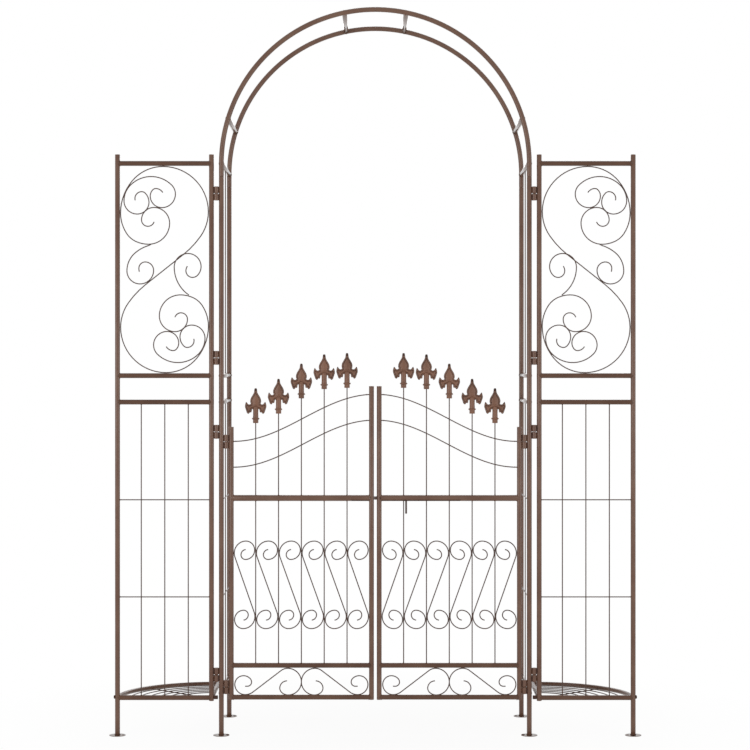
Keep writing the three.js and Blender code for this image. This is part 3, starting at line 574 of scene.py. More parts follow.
foot_plate = plate([disc_outline(FOOT_R), disc_outline(PEG_R, PEG_X, 24)], FOOT_THICK, FOOT_EDGE)
print("foot plate has", len(foot_plate[1]), "faces")

# %% [markdown]
# ## Posts
# The four posts are plain tube up to the hoops' legs. The front ones carry the lower halves of all
# hinges. The back hoop sits a few millimetres deeper on its posts, so heights near the hoops depend on
# the plane they are in.

# %% Posts
PLANES = (("front", FRONT_Y), ("back", BACK_Y))
HOOP_LEG = 40  # the straight part below each hoop's arc
BACK_SETTLE = 3.6
JOINT_HALF = 0.2  # half the hairline where a hoop sits on its post
# A dark ring in the edge of each peg hole, painted shade of the hole.
PEG_SHADE_RING_R, PEG_SHADE_RING_DROP = 0.8, 0.2


def spring(y):
    """The height of the centre of the hoop in the plane y."""
    return SPRING - (BACK_SETTLE if y > 0 else 0)


gate_halves, gate_beads = barrels(GATE_PIN_X, POST_X, GATE_HINGES, upper=False)
wing_halves, wing_beads = barrels(WING_PIN_X, POST_X, WING_HINGES, upper=False)
hinges = [*gate_halves, *wing_halves], [*gate_beads, *wing_beads]
for name, y in PLANES:
    post = straight((POST_X, y, FOOT_THICK), (POST_X, y, spring(y) - HOOP_LEG - JOINT_HALF), TUBE_R)
    extras, beads = hinges if name == "front" else ([], [])
    pair(f"{name}_post", [post, *extras], welds=beads)
    # The dark ring round the peg hole is painted shade of the hole, in the welds' coat.
    peg_hole_shade_ring = ring_bead((POST_X + PEG_X, y, FOOT_THICK - PEG_SHADE_RING_DROP), PEG_R, PEG_SHADE_RING_R)
    foot_welds = [foot_bead(POST_X, y), peg_hole_shade_ring]
    pair(f"{name}_foot", [moved(foot_plate, (POST_X, y, 0))], welds=foot_welds, finish="smooth")
print("hoops' centres at", spring(FRONT_Y), "mm in front and", spring(BACK_Y), "mm at the back")

# %% [markdown]
# ## Hoops and rungs
# Each hoop is two quarter circles rolled from the same tube. They push onto the posts and into each
# other at the crown, where the joint is drawn tight. The rungs that tie the front hoop to the back
# one are straight tubes with saddle-shaped beads.

# %% Hoops and rungs
HOOP_R = -POST_X
ARC_END = 89.998  # degrees, a hair short of the crown, so that the two halves share no face
ARC_POINTS = 49
RUNG_ANGLES = (("crown", 78.5), ("shoulder", 17))  # degrees above the spring line


def hoop_path(y):
    """The leg and the quarter circle of a hoop half in the plane y."""
    angles = np.radians(np.linspace(0, ARC_END, ARC_POINTS))
    arc = [(-HOOP_R * math.cos(a), y, spring(y) + HOOP_R * math.sin(a)) for a in angles]
    return [(POST_X, y, spring(y) - HOOP_LEG + JOINT_HALF), *arc]


def rung(ends, main_axis):
    """A tube from front to back, with a bead where each end meets a tube along main_axis."""
    return [straight(*ends, TUBE_R), *[saddle_bead(end, (0, -end[1], 0), main_axis) for end in ends]]


def hoop_rung(angle):
    """A rung between the hoops, at an angle above the spring line."""
    across, up = math.cos(math.radians(angle)), math.sin(math.radians(angle))
    ends = [(-HOOP_R * across, y, spring(y) + HOOP_R * up) for y in (FRONT_Y, BACK_Y)]
    return rung(ends, (up, 0, across))


for name, y in PLANES:
    pair(f"{name}_hoop", [bent(hoop_path(y), TUBE_R)])
for name, angle in RUNG_ANGLES:
    pair(f"{name}_rung", hoop_rung(angle), finish="smooth")
print("crown of the hoop at", SPRING + HOOP_R, "mm")

# %% [markdown]
# ## Side panels
# Between the front and back posts stand two panels of rungs and thin wires. Crossing wires lie one
# behind the other and are tacked, because two bars can't share one place.

# %% Side panels
BASE_RUNG = 128


def side_rung(z):
    """A rung between a front and a back post. The one on the hoops' legs follows the back hoop down."""
    return rung([(POST_X, y, spring(y) if z == SPRING else z) for y in (FRONT_Y, BACK_Y)], Z_AXIS)


def side_panel(name, top, foot, levels=()):
    """Two rungs, one upright wire between them, and level wires behind it."""
    wires = [straight((POST_X, 0, foot), (POST_X, 0, top), WIRE_R)]
    tacks = [tack((POST_X, 0, z), Y_AXIS) for z in (top - TUBE_R, foot + TUBE_R)]
    x = POST_X + BEHIND
    for z in levels:
        wires.append(straight((x, FRONT_Y + WIRE_END, z), (x, BACK_Y - WIRE_END, z), WIRE_R))
        tacks.append(cross_tack((x - BEHIND / 2, 0, z)))
        tacks += [tack((x, y, z), Z_AXIS) for y in (FRONT_Y + TUBE_R, BACK_Y - TUBE_R)]
    pair(name, [*side_rung(top), *side_rung(foot)], wires, tacks, "smooth")


side_panel("upper_side_panel", SPRING, BAND_TOP)
side_panel("lower_side_panel", BAND_FOOT, BASE_RUNG, CROSS_WIRES)
print("side panels between", BASE_RUNG, "and", SPRING, "mm")

# %% [markdown]
# ## Wing frames
# A wing is a tall narrow frame that hangs on four hinges beside the arch. Its outer post stands on a
# foot of its own; the inner one hangs clear of the ground.

# %% Wing frames
WING_TOP, WING_TOP_RAIL, WING_FOOT = 1760, 1733, 105

upper_halves, upper_beads = barrels(WING_PIN_X, INNER_X, WING_HINGES, upper=True)
pair("wing_inner_post", [standing(INNER_X, WING_FOOT, WING_TOP), *upper_halves], welds=upper_beads)
pair("wing_outer_post", [standing(OUTER_X, FOOT_THICK, WING_TOP)])
foot_welds = [foot_bead(OUTER_X, FRONT_Y)]
pair("wing_foot", [moved(foot_plate, (OUTER_X, FRONT_Y, 0))], welds=foot_welds, finish="smooth")
for name, z in (("top", WING_TOP_RAIL), ("band", BAND_TOP)):
    pair(f"wing_{name}_rail", welded_rail(OUTER_X, INNER_X, z), finish="level")
print("wing frames:", round(INNER_X - OUTER_X, 1), "mm between posts")

# %% [markdown]
# ## Trellis
# Climbing plants get three upright wires, with two level ones behind them. The uprights are welded to
# the rail above and to the shelf's front bar, and they stand a millimetre nearer to the arch than an
# even spacing would put them.

# %% Trellis
TRELLIS_SHIFT = 0.9
LEVEL_Y = FRONT_Y + BEHIND

trellis, trellis_tacks = [], []
for i in (1, 2, 3):
    x = OUTER_X + (INNER_X - OUTER_X) * i / 4 + TRELLIS_SHIFT
    trellis.append(standing(x, SHELF_Z + TUBE_R, BAND_FOOT, WIRE_R))
    trellis_tacks += [tack((x, FRONT_Y, z), X_AXIS) for z in (BAND_FOOT - TUBE_R, SHELF_Z + TUBE_R)]
    trellis_tacks += [cross_tack((x, FRONT_Y + BEHIND / 2, z)) for z in CROSS_WIRES]
for z in CROSS_WIRES:
    trellis.append(straight((OUTER_X + WIRE_END, LEVEL_Y, z), (INNER_X - WIRE_END, LEVEL_Y, z), WIRE_R))
    trellis_tacks += [tack((x, LEVEL_Y, z), Z_AXIS) for x in (OUTER_X + TUBE_R, INNER_X - TUBE_R)]
pair("wing_trellis", welded_rail(OUTER_X, INNER_X, BAND_FOOT), trellis, trellis_tacks, "level")
print("trellis:", len(trellis), "wires and", len(trellis_tacks), "tacks")

# %% [markdown]
# ## Scrollwork of the wings
# The upper panel is one big S with smaller scrolls in its bowls. Each scroll is a chain of arcs that
# run into one another: a radius and an angle for every bend. The S is half a path and the same half
# turned round. It is then stretched by a hair to touch the frame on all four sides, where a tack
# holds it. The bowl's scroll is used twice, the second time turned round as the S is.

# %% Scrollwork
SCROLL_UNIT = INNER_X - OUTER_X - 2 * TUBE_R
SCROLL_LOW, SCROLL_HIGH = BAND_TOP + TUBE_R, WING_TOP_RAIL - TUBE_R
BIG_S_HEADING = 38.5
BIG_S = [
    (0.27,), (0.99, 16.4), (0.475, 35.1), (0.508, 90), (0.45, 50), (0.56, 40), (0.42, 33),
    (0.25, 33), (0.34, 24), (0.236, 90), (0.176, 90), (0.139, 90), (0.072, 162),
]
BOWL = [
    (0.076, -106.5), (0.055, -45), (0.145, -45), (0.132, -90), (0.148, -90), (0.25, -45), (0.326, -90),
    (0.143, -45), (0.152, -90), (0.13, -90), (0.1, -45), (0.046, -45), (0.091, -60),
]
LEFT_CURL = [(0.42, 25), (0.265, 50), (0.147, 90), (0.152, 90), (0.094, 90), (0.071, 90), (0.15, 15)]
RIGHT_CURL = [
    (0.378, -55.7), (0.154, -90), (0.147, -90), (0.139, -45), (0.078, -45), (0.074, -90), (0.087, -37),
]
SMALL_SCROLLS = (  # where each starts, its heading there and its bends
    ((-0.328, 0.775), 106.5, BOWL),
    ((-0.165, 0.273), 195, LEFT_CURL),
    ((0.274, -0.286), 145.7, RIGHT_CURL),
)


def nearest(route, other):
    """The closest points of two routes."""
    apart = np.linalg.norm(route[:, None] - other[None], axis=2)
    i, j = np.unravel_index(apart.argmin(), apart.shape)
    return route[i], other[j]


def extremes(route, axis):
    """Where a route reaches furthest each way along an axis."""
    return [route[route[:, axis].argmin()], route[route[:, axis].argmax()]]


big = two_fold(BIG_S_HEADING, BIG_S, SCROLL_UNIT)
bowl, left_curl, right_curl = (
    walk(np.multiply(start, SCROLL_UNIT), heading, moves, SCROLL_UNIT)
    for start, heading, moves in SMALL_SCROLLS
)
fit = np.array([SCROLL_UNIT / 2 - WIRE_R, (SCROLL_HIGH - SCROLL_LOW) / 2 - WIRE_R]) / big.max(0)
routes = [
    upright(path * fit, (INNER_X + OUTER_X) / 2, (SCROLL_LOW + SCROLL_HIGH) / 2)
    for path in (big, bowl, -bowl, left_curl, right_curl)
]
scroll_tacks = [tack(p, Z_AXIS, length=6) for p in extremes(routes[0], axis=0)]
scroll_tacks += [tack(p, X_AXIS, length=6) for p in extremes(routes[0], axis=2)]
for route in routes[1:]:
    near, far = nearest(route, routes[0])
    along = np.cross(far - near, Y_AXIS) + (1e-6, 0, 0)  # never quite zero, even where they touch
    scroll_tacks.append(tack((near + far) / 2, along, length=5.5))
pair("wing_scrollwork", wires=[bent(route, WIRE_R) for route in routes], welds=scroll_tacks)
print("scrollwork drawn with", sum(map(len, routes)), "points")

# %% [markdown]
# ## Plant shelf
# Behind the foot of each wing a quarter-round shelf holds a pot. Its rim is a 12 mm tube, drawn a
# little stouter as the wires are, and six arcs of wire lie on a diagonal one. Small bolts hold the
# shelf to the posts, so it can be taken off. A hexagon nut is the turning function with six sides.

# %% Plant shelf
SHELF_R = INNER_X - OUTER_X
RIM_TUBE_R = 6.6
FIRST_ARC, ARC_STEP = 0.3545, 0.1032  # shares of the shelf's radius
ARC_RADII = [SHELF_R * (FIRST_ARC + ARC_STEP * i) for i in range(6)]
DIAGONAL = math.sqrt(0.5)
BOLT_Z, SLEEVE_Z = SHELF_Z + 2, SHELF_Z + 1
BOLT_HEAD = [(1.5, 0), (4, 0.4), (5.2, 1.6), (5.6, 3.5), (4.8, 4)]
BOLT_NUT = [(4.6, 0), (5.3, 0.6), (5.3, 4.2), (4.6, 4.8)]
BOLT_SLEEVE = [(5.1, 0), (5.8, 0.7), (5.8, 11.3), (5.1, 12)]
SHANK_R, SHANK_PAST = 2.5, 6.5  # the shank shows a little past its nut
SHANK_FACETS, NUT_SIDES = 16, 6


def shelf_arc(radius):
    """A quarter circle about the shelf's corner."""
    angles = np.radians(np.linspace(0, 90, 31))
    return [(INNER_X - radius * math.cos(a), FRONT_Y + radius * math.sin(a), SHELF_Z) for a in angles]


shelf_bars = [
    coped(OUTER_X, INNER_X, SHELF_Z),
    straight((INNER_X, FRONT_Y, SHELF_Z), (INNER_X, FRONT_Y + SHELF_R, SHELF_Z), TUBE_R),
    bent(shelf_arc(SHELF_R)[1:], RIM_TUBE_R),
]
under = SHELF_Z - BEHIND
diagonal = [(INNER_X - r * DIAGONAL, FRONT_Y + r * DIAGONAL, under) for r in (TUBE_R, SHELF_R)]
shelf_wires = [straight(*diagonal, WIRE_R), *[bent(shelf_arc(radius), WIRE_R) for radius in ARC_RADII]]
bolt_from, bolt_to = OUTER_X - TUBE_R, OUTER_X + TUBE_R
shelf_fixings = [
    turned(BOLT_HEAD, (bolt_from - BOLT_HEAD[-1][1], FRONT_Y, BOLT_Z), X_AXIS),
    turned(BOLT_NUT, (bolt_to, FRONT_Y, BOLT_Z), X_AXIS, NUT_SIDES),
    straight((bolt_from, FRONT_Y, BOLT_Z), (bolt_to + SHANK_PAST, FRONT_Y, BOLT_Z), SHANK_R, SHANK_FACETS),
    turned(BOLT_SLEEVE, (INNER_X + TUBE_R, FRONT_Y, SLEEVE_Z), X_AXIS),
    saddle_bead((INNER_X, FRONT_Y + SHELF_R, SHELF_Z), (-1, 0, 0), Y_AXIS, RIM_TUBE_R),
    saddle_bead((OUTER_X, FRONT_Y, SHELF_Z), Y_AXIS, Z_AXIS, RIM_TUBE_R),
]
for radius in ARC_RADII:
    shelf_fixings.append(tack((INNER_X - radius, FRONT_Y + TUBE_R, SHELF_Z), X_AXIS))
    shelf_fixings.append(tack((INNER_X - TUBE_R, FRONT_Y + radius, SHELF_Z), Y_AXIS))
    middle = radius * DIAGONAL
    shelf_fixings.append(cross_tack((INNER_X - middle, FRONT_Y + middle, SHELF_Z - BEHIND / 2), (1, -1, 0)))
pair("wing_shelf", shelf_bars, shelf_wires, shelf_fixings, "level")
print("shelf radius", round(SHELF_R, 1), "mm")

# %% [markdown]
# ## Boring and slotting
# The bolt of the latch slides inside the middle rail, so the tall stile is bored and the rail slotted.
# A round hole through a round tube is a job for the Boolean modifier, and its result is read back as
# plain corners and faces. The slotted rail needs none: its C-shaped outline is drawn out along X.

# %% Boring and slotting
MID_RAIL = 719.3
BOLT_R, GUIDE_R = 5.2, 5.55  # the bolt, and the bore that guides it
SLOT_HALF = 3.25
SLOT_DEGREES = 55  # below level, towards the front
OUTER_POINTS, INNER_POINTS = 40, 28  # corners of the C-shaped outline


def temporary(part):
    """An object to bore or to bore with."""
    mesh = bpy.data.meshes.new("temporary")
    mesh.from_pydata(part[0].tolist(), [], part[1])
    thing = bpy.data.objects.new("temporary", mesh)
    bpy.context.scene.collection.objects.link(thing)
    return thing


def bored(part, cutter):
    """part with cutter taken out of it."""
    body, tool = temporary(part), temporary(cutter)
    modifier = body.modifiers.new("bore", "BOOLEAN")
    modifier.operation, modifier.object = "DIFFERENCE", tool
    bpy.context.view_layer.update()
    mesh = bpy.data.meshes.new_from_object(body.evaluated_get(bpy.context.evaluated_depsgraph_get()))
    result = np.array([v.co[:] for v in mesh.vertices]), [tuple(p.vertices) for p in mesh.polygons]
    for thing in (body, tool):
        bpy.data.objects.remove(thing)
    return result


def slotted(from_x, to_x):
    """A length of rail with a slot along its lower front."""
    half_turn = math.pi + math.radians(SLOT_DEGREES)
    across, up = [], []
    for radius, way, count in ((RAIL_R, 1, OUTER_POINTS), (GUIDE_R, -1, INNER_POINTS)):
        reach = math.pi - math.asin(SLOT_HALF / radius)
        angles = half_turn + math.pi + way * np.linspace(-reach, reach, count)
        across += list(radius * np.cos(angles))
        up += list(radius * np.sin(angles))
    outline = np.column_stack([across, up]) + (FRONT_Y, MID_RAIL)
    return strip([np.insert(outline, 0, x, axis=1) for x in (from_x, to_x)])


print("bolt slot:", 2 * SLOT_HALF, "mm wide")

# %% [markdown]
# ## Gate frames
# Each leaf has a short stile at the hinges and a tall one at the middle, where the two leaves meet.
# The middle rail is stouter than the others. Its slot is long on the right leaf, where the bolt lives,
# and short on the left, which only receives the bolt's tip. A thin dark lining in the stile's bore is
# painted shade inside the hole.

# %% Gate frames
GATE_TOP, GATE_FOOT, HINGE_STILE_TOP = 1058.4, 108.5, 935
LEAF_START, LEAF_END = HINGE_STILE_X + TUBE_R, MEETING_STILE_X - TUBE_R
INTO_STILE = 2  # how far a rail or wire goes into a stile's skin
SLOT_LENGTHS = (("left", 52), ("right", 238))
CUTTER_LENGTH, CUTTER_FACETS = 40, 32
BORE_SHADE_WALL = 0.2

stile_halves, stile_beads = barrels(GATE_PIN_X, HINGE_STILE_X, GATE_HINGES, upper=True)
hinge_stile = standing(HINGE_STILE_X, GATE_FOOT, HINGE_STILE_TOP)
meeting_stile = standing(MEETING_STILE_X, GATE_FOOT, GATE_TOP)
cutter_from = (-CUTTER_LENGTH, FRONT_Y, MID_RAIL)
cutter = turned([(GUIDE_R, 0), (GUIDE_R, CUTTER_LENGTH)], cutter_from, X_AXIS, CUTTER_FACETS)
# The bore's thin lining in the welds' darkest coat is painted shade inside the hole.
bore = GUIDE_R - BORE_SHADE_WALL
bore_shade_outline = [(GUIDE_R, 0), (GUIDE_R, TUBE_R), (bore, TUBE_R), (bore, 0)]
bore_shade_lining = turned(bore_shade_outline, (MEETING_STILE_X, FRONT_Y, MID_RAIL), X_AXIS, closed=True)
pair("gate_hinge_stile", [hinge_stile, *stile_halves], welds=stile_beads)
pair("gate_meeting_stile", [bored(meeting_stile, cutter)], welds=[bore_shade_lining])
for side, slot_length in SLOT_LENGTHS:
    slot_end = LEAF_END - slot_length
    rail = [
        straight((HINGE_STILE_X, FRONT_Y, MID_RAIL), (slot_end, FRONT_Y, MID_RAIL), RAIL_R),
        slotted(slot_end, LEAF_END + INTO_STILE),
        *rail_beads(HINGE_STILE_X, MEETING_STILE_X, MID_RAIL, RAIL_R),
    ]
    piece(f"{side}_gate_mid_rail", rail, mirrored=side == "right")
print("clear width between stiles:", round(LEAF_END - LEAF_START, 1), "mm")

# %% [markdown]
# ## Picket panel
# Five pickets stand on the middle rail and carry the finials, at heights that rise towards the middle
# of the gate. Two wavy wires cross behind them. Each is half a cosine wave, which starts and ends
# level, as a wire does that was bent over two rollers.

# %% Picket panel
LEAF_MIDDLE = (LEAF_START + LEAF_END) / 2
PICKET_STEP = 69.2
PICKETS = [LEAF_MIDDLE + (i - 2) * PICKET_STEP for i in range(5)]
FINIAL_BASES = (946.5, 975.0, 1021.1, 1049.2, 1053.0)
INTO_SOCKET, INTO_RAIL = 10, 1  # how far a picket goes into its finial and into the rail
WAVE_STARTS, WAVE_RISE = (0.275, 0.506), 0.42  # shares of the panel's height


def wave(start):
    """A wavy wire that starts at a share of the panel's height and crests at the far stile."""
    x = np.linspace(LEAF_START - INTO_STILE, LEAF_END + INTO_STILE, 49)
    share = (x - LEAF_START) / (MEETING_STILE_X + TUBE_R - LEAF_START)
    z = MID_RAIL + (GATE_TOP - MID_RAIL) * (start + WAVE_RISE * (1 - np.cos(math.pi * share)) / 2)
    return np.column_stack([x, np.full(len(x), LEVEL_Y), z])


waves = [wave(start) for start in WAVE_STARTS]
picket_wires = [bent(route, WIRE_R) for route in waves]
picket_tacks = [tack(route[i], Z_AXIS) for route in waves for i in (1, -2)]
for x, base in zip(PICKETS, FINIAL_BASES):
    foot = MID_RAIL + RAIL_R
    picket_wires.append(standing(x, foot - INTO_RAIL, base + INTO_SOCKET, WIRE_R))
    picket_tacks.append(tack((x, FRONT_Y, foot), X_AXIS))
    crossings = [np.interp(x, route[:, 0], route[:, 2]) for route in waves]
    picket_tacks += [cross_tack((x, FRONT_Y + BEHIND / 2, z)) for z in crossings]
pair("gate_picket_panel", wires=picket_wires, welds=picket_tacks)
print("picket panel:", len(picket_wires), "wires")

# %% [markdown]
# ## Scroll panel
# Straight pickets divide the leaf into six bays, each with an S scroll that touches both sides. The
# scroll is drawn once and stretched to each bay. It is as tall as a little over half the panel.

# %% Scroll panel
LOWER_RAIL = 212.4
CLEAR_FOOT = LOWER_RAIL + TUBE_R
CLEAR_HEIGHT = MID_RAIL - RAIL_R - CLEAR_FOOT
SCROLL_HEIGHT, SCROLL_MIDDLE = 0.541 * CLEAR_HEIGHT, CLEAR_FOOT + 0.482 * CLEAR_HEIGHT
BESIDE = 2 * WIRE_R - 1  # from a picket to the scroll welded to its side
BAY_S_HEADING = 109.8
BAY_S = [(0.335,), (0.138, -110), (0.102, -90), (0.108, -90), (0.053, -90), (0.06, -86)]

scroll_wires, scroll_tacks = [], []
for x in PICKETS:
    scroll_wires.append(standing(x, LOWER_RAIL, MID_RAIL, WIRE_R))
    scroll_tacks += [tack((x, FRONT_Y, z), X_AXIS) for z in (CLEAR_FOOT, MID_RAIL - RAIL_R)]
bay_s = two_fold(BAY_S_HEADING, BAY_S, SCROLL_HEIGHT)
lefts = [LEAF_START + WIRE_R, *[x + BESIDE for x in PICKETS]]
rights = [*[x - BESIDE for x in PICKETS], LEAF_END - WIRE_R]
for left, right in zip(lefts, rights):
    fit = np.array([(right - left) / 2, SCROLL_HEIGHT / 2]) / bay_s.max(0)
    route = upright(bay_s * fit, (left + right) / 2, SCROLL_MIDDLE)
    touches = [tack(p, Z_AXIS, length=4, thick=1.1) for p in extremes(route, axis=0)]
    scroll_wires += [bent(route, WIRE_R), *touches]
lower_rail = welded_rail(HINGE_STILE_X, MEETING_STILE_X, LOWER_RAIL)
pair("gate_scroll_panel", lower_rail, scroll_wires, scroll_tacks, "level")
print("bay scrolls:", round(SCROLL_HEIGHT), "mm high")

# %% [markdown]
# ## Bottom panel
# Two long scrolls meet in the middle of the leaf, below the lower rail. One is walked from its straight
# run in both directions, stretched to the height of the panel, and then mirrored. It touches the
# rails above and below, and its twin in the middle, and is tacked there.

# %% Bottom panel
BOTTOM_RAIL = 116
KICK_HEADING = 37.5
KICK_MIDDLE = [(0.256,), (0.164, -37.5), (0.198, -90), (0.192, -90), (0.138, -45), (0.085, -45), (0.106, -90)]
KICK_END = [
    (0.256,), (0.19, -37.5), (0.15, -90), (0.127, -90), (0.133, -45), (0.078, -45), (0.06, -90), (0.035,),
]
KICK_REACH = 0.984 * (LEAF_END - LEAF_START) / 2
KICK_LOW, KICK_HIGH = BOTTOM_RAIL + TUBE_R - 1, LOWER_RAIL - TUBE_R - WIRE_R

end = walk((0, 0), KICK_HEADING + 180, KICK_END, KICK_REACH)
middle = walk((0, 0), KICK_HEADING, KICK_MIDDLE, KICK_REACH)
kick = np.vstack([end[:0:-1], middle[1:]])
kick = kick * (KICK_REACH, KICK_HIGH - KICK_LOW) / np.ptp(kick, axis=0)
kick = kick - (kick[:, 0].max(), kick[:, 1].min())
kick_wires, kick_tacks = [], []
for way in (1, -1):
    route = upright(kick * (way, 1), LEAF_MIDDLE, KICK_LOW)
    kick_wires.append(bent(route, WIRE_R))
    kick_tacks += [tack(p, X_AXIS, length=6) for p in extremes(route, axis=2)]
meeting = route[np.abs(route[:, 0] - LEAF_MIDDLE).argmin()]
kick_tacks.append(tack(meeting, Z_AXIS, length=6))
bottom_rail = welded_rail(HINGE_STILE_X, MEETING_STILE_X, BOTTOM_RAIL)
pair("gate_bottom_panel", bottom_rail, kick_wires, kick_tacks, "level")
print("bottom scrolls:", round(KICK_HIGH - KICK_LOW), "mm high")

# %% [markdown]
# ## Finial blades
# The finials are small castings: a spear blade, a pair of swept wings, a stem with a collar and a
# socket over the picket's end. A casting has no sharp arris, its relief swells from the edge to a soft
# ridge. So the outline is filled with points, joined to triangles by Delaunay's method, and each point
# is raised by its distance from the edge. The back is the front again. The rim and the groove get the
# darkest coat as painted shade, and the tip gets it too, so those faces are kept apart.

# %% Finial blades
OUTLINE = [
    (0, 105.5), (2.4, 105.1), (3.7, 103), (4.3, 99), (5.1, 93), (7.7, 87.3), (12, 80.2), (15.1, 74),
    (16.4, 68), (16.2, 63), (15, 58.8), (18, 56.4), (22.3, 56.8), (25, 59.8), (27.6, 63.4), (29.6, 63.2),
    (31.6, 57), (32.5, 49.8), (31, 44), (28.6, 37), (26.2, 30.6), (22.6, 28), (20, 29), (17.8, 32.2),
    (15.4, 32), (13, 32.6), (12, 36.4), (11.4, 40.4), (8.6, 42.2), (0, 42.4),
]
GRID_X, GRID_Z, GRID_STEP = (-32, 33), (28, 106), 1.6
RIM_INSETS, GRID_INSET = (0.6, 1.4, 2.6), 3.2
CROWDED = 0.92  # in a tight corner, points nearer to the edge than this share of the inset are left out
SWELL, EDGE_SOFTNESS, RIDGE_RISE = 2.7, 1.1, 0.2
GROOVE_DEPTH, GROOVE_AT, GROOVE_WIDTH = 1.3, 4.6, 1.3
# How wide the painted shade is on the rim and in the groove, and where the darker tip starts.
SHADE_RIM, SHADE_GROOVE_HALF, DARK_TIP = 1.3, 0.9, 97
ON_RIM = 1e-3  # nearer to the edge than this, a point belongs to both sides


def smooth_line(points, steps):
    """A Catmull-Rom line through points."""
    p = np.vstack([2 * points[0] - points[1], points, 2 * points[-1] - points[-2]])
    t = np.linspace(0, 1, steps, endpoint=False)[:, None]
    runs = [
        0.5 * (2 * b + (c - a) * t + (2 * a - 5 * b + 4 * c - d) * t**2 + (3 * b - a - 3 * c + d) * t**3)
        for a, b, c, d in zip(p, p[1:], p[2:], p[3:])
    ]
    return np.vstack([*runs, points[-1]])


def edge_distance(points, outline):
    """How far each point is from a closed outline."""
    a, b = outline, np.roll(outline, -1, 0)
    run = b - a
    along = np.clip(((points[:, None] - a) * run).sum(2) / (run**2).sum(1), 0, 1)
    return np.linalg.norm(points[:, None] - a - along[..., None] * run, axis=2).min(1)


def blade_points(outline):
    """The outline, rings just inside it and a grid further in."""
    run = np.roll(outline, -1, 0) - np.roll(outline, 1, 0)
    inward = unit(np.column_stack([run[:, 1], -run[:, 0]]))
    points = [outline]
    for inset in RIM_INSETS:
        ring = outline + inward * inset
        points.append(ring[edge_distance(ring, outline) > inset * CROWDED])
    columns, rows = np.arange(*GRID_X, GRID_STEP), np.arange(*GRID_Z, GRID_STEP)
    grid = np.array([(x, z) for x in columns for z in rows])
    return np.vstack([*points, grid[edge_distance(grid, outline) > GRID_INSET]])


def blade():
    """The cast blade and wings, with relief on both sides: the raised faces, and the ones in painted shade.
    """
    right = smooth_line(np.array(OUTLINE), 3)
    outline = np.vstack([right, (right * (-1, 1))[-2:0:-1]])
    rim = list(range(len(outline)))
    loop = [(i, (i + 1) % len(rim)) for i in rim]
    points = [Vector(point) for point in blade_points(outline)]
    points, _, faces, *_ = geometry.delaunay_2d_cdt(points, loop, [rim], 1, 1e-4)
    flat = np.array([point[:] for point in points])
    depth = edge_distance(flat, outline)
    groove = GROOVE_DEPTH * np.exp(-(((depth - GROOVE_AT) / GROOVE_WIDTH) ** 2))
    relief = SWELL * (1 - np.exp(-depth / EDGE_SOFTNESS)) + RIDGE_RISE * depth - groove
    on_rim = depth < ON_RIM
    relief[on_rim] = 0
    front = np.column_stack([flat[:, 0], -relief, flat[:, 1]])
    corners = np.vstack([front, front * (1, -1, 1)])
    count = len(flat)
    twin = np.where(on_rim, np.arange(count), np.arange(count) + count)
    faces = [*map(tuple, faces), *[tuple(int(twin[i]) for i in face[::-1]) for face in faces]]
    inset = np.array([depth[np.array(face) % count].mean() for face in faces])
    height = np.array([corners[list(face), 2].mean() for face in faces])
    # Faces on the rim and in the groove get painted shade in the darkest coat, and the tip joins them.
    dark = (inset < SHADE_RIM) | (abs(inset - GROOVE_AT) < SHADE_GROOVE_HALF) | (height > DARK_TIP)
    groups = [[face for face, is_dark in zip(faces, dark) if is_dark == want] for want in (False, True)]
    return [(corners, group) for group in groups]


raised, shade_faces = blade()
print("a blade has", len(raised[1]), "raised faces and", len(shade_faces[1]), "dark ones")

# %% [markdown]
# ## Finials
# The stem, with its socket and collar, is a profile turned on the picket's axis. A cast band wraps it
# where the wings spring from it, a closed bar that bends down at its two sides. All ten finials are
# alike, and only their heights differ.

# %% Finials
STEM = [
    (7.8, 0), (8.4, 0.8), (8.2, 8), (8.4, 10.2), (11, 11.6), (11.7, 13.3), (11, 15), (8.4, 16.4),
    (8.3, 19), (8, 26), (8, 34), (8.2, 40), (8.4, 45), (6, 50),
]
BAND_WIDE, BAND_DEEP, BAND_R = 11.4, 4.6, 2.5
BAND_HEIGHT, BAND_SAG = 52.4, 1.6

stem = turned(STEM, (0, 0, 0))
turns = np.radians(np.linspace(0, 360, 40, endpoint=False))
band_height = BAND_HEIGHT - BAND_SAG * np.cos(2 * turns)
band_path = np.column_stack([BAND_WIDE * np.cos(turns), BAND_DEEP * np.sin(turns), band_height])
band = bent(band_path, BAND_R, 10, closed=True)
for i, (x, z) in enumerate(zip(PICKETS, FINIAL_BASES), 1):
    parts = [moved(part, (x, FRONT_Y, z)) for part in (raised, stem, band)]
    pair(f"finial_{i}", parts, welds=[moved(shade_faces, (x, FRONT_Y, z))], finish="casting")
print("a finial has", sum(len(faces) for _, faces in (raised, shade_faces, stem, band)), "faces")

# %% [markdown]
# ## Latch
# The bolt is a plain round bar in the rail, and a bent rod screwed into it hangs in front as the
# handle. It comes out through the slot, square to the bolt, and then bends to hang straight down. It
# rides on the bolt's own body, so it slides when the bolt does.

# %% Latch
HANDLE_R, HANDLE_BEND, HANDLE_FACETS = 2.9, 6, 16
HANDLE_X, HANDLE_DROP = 93.2, 47
BOLT_TIP, BOLT_LENGTH = -3.9, 200

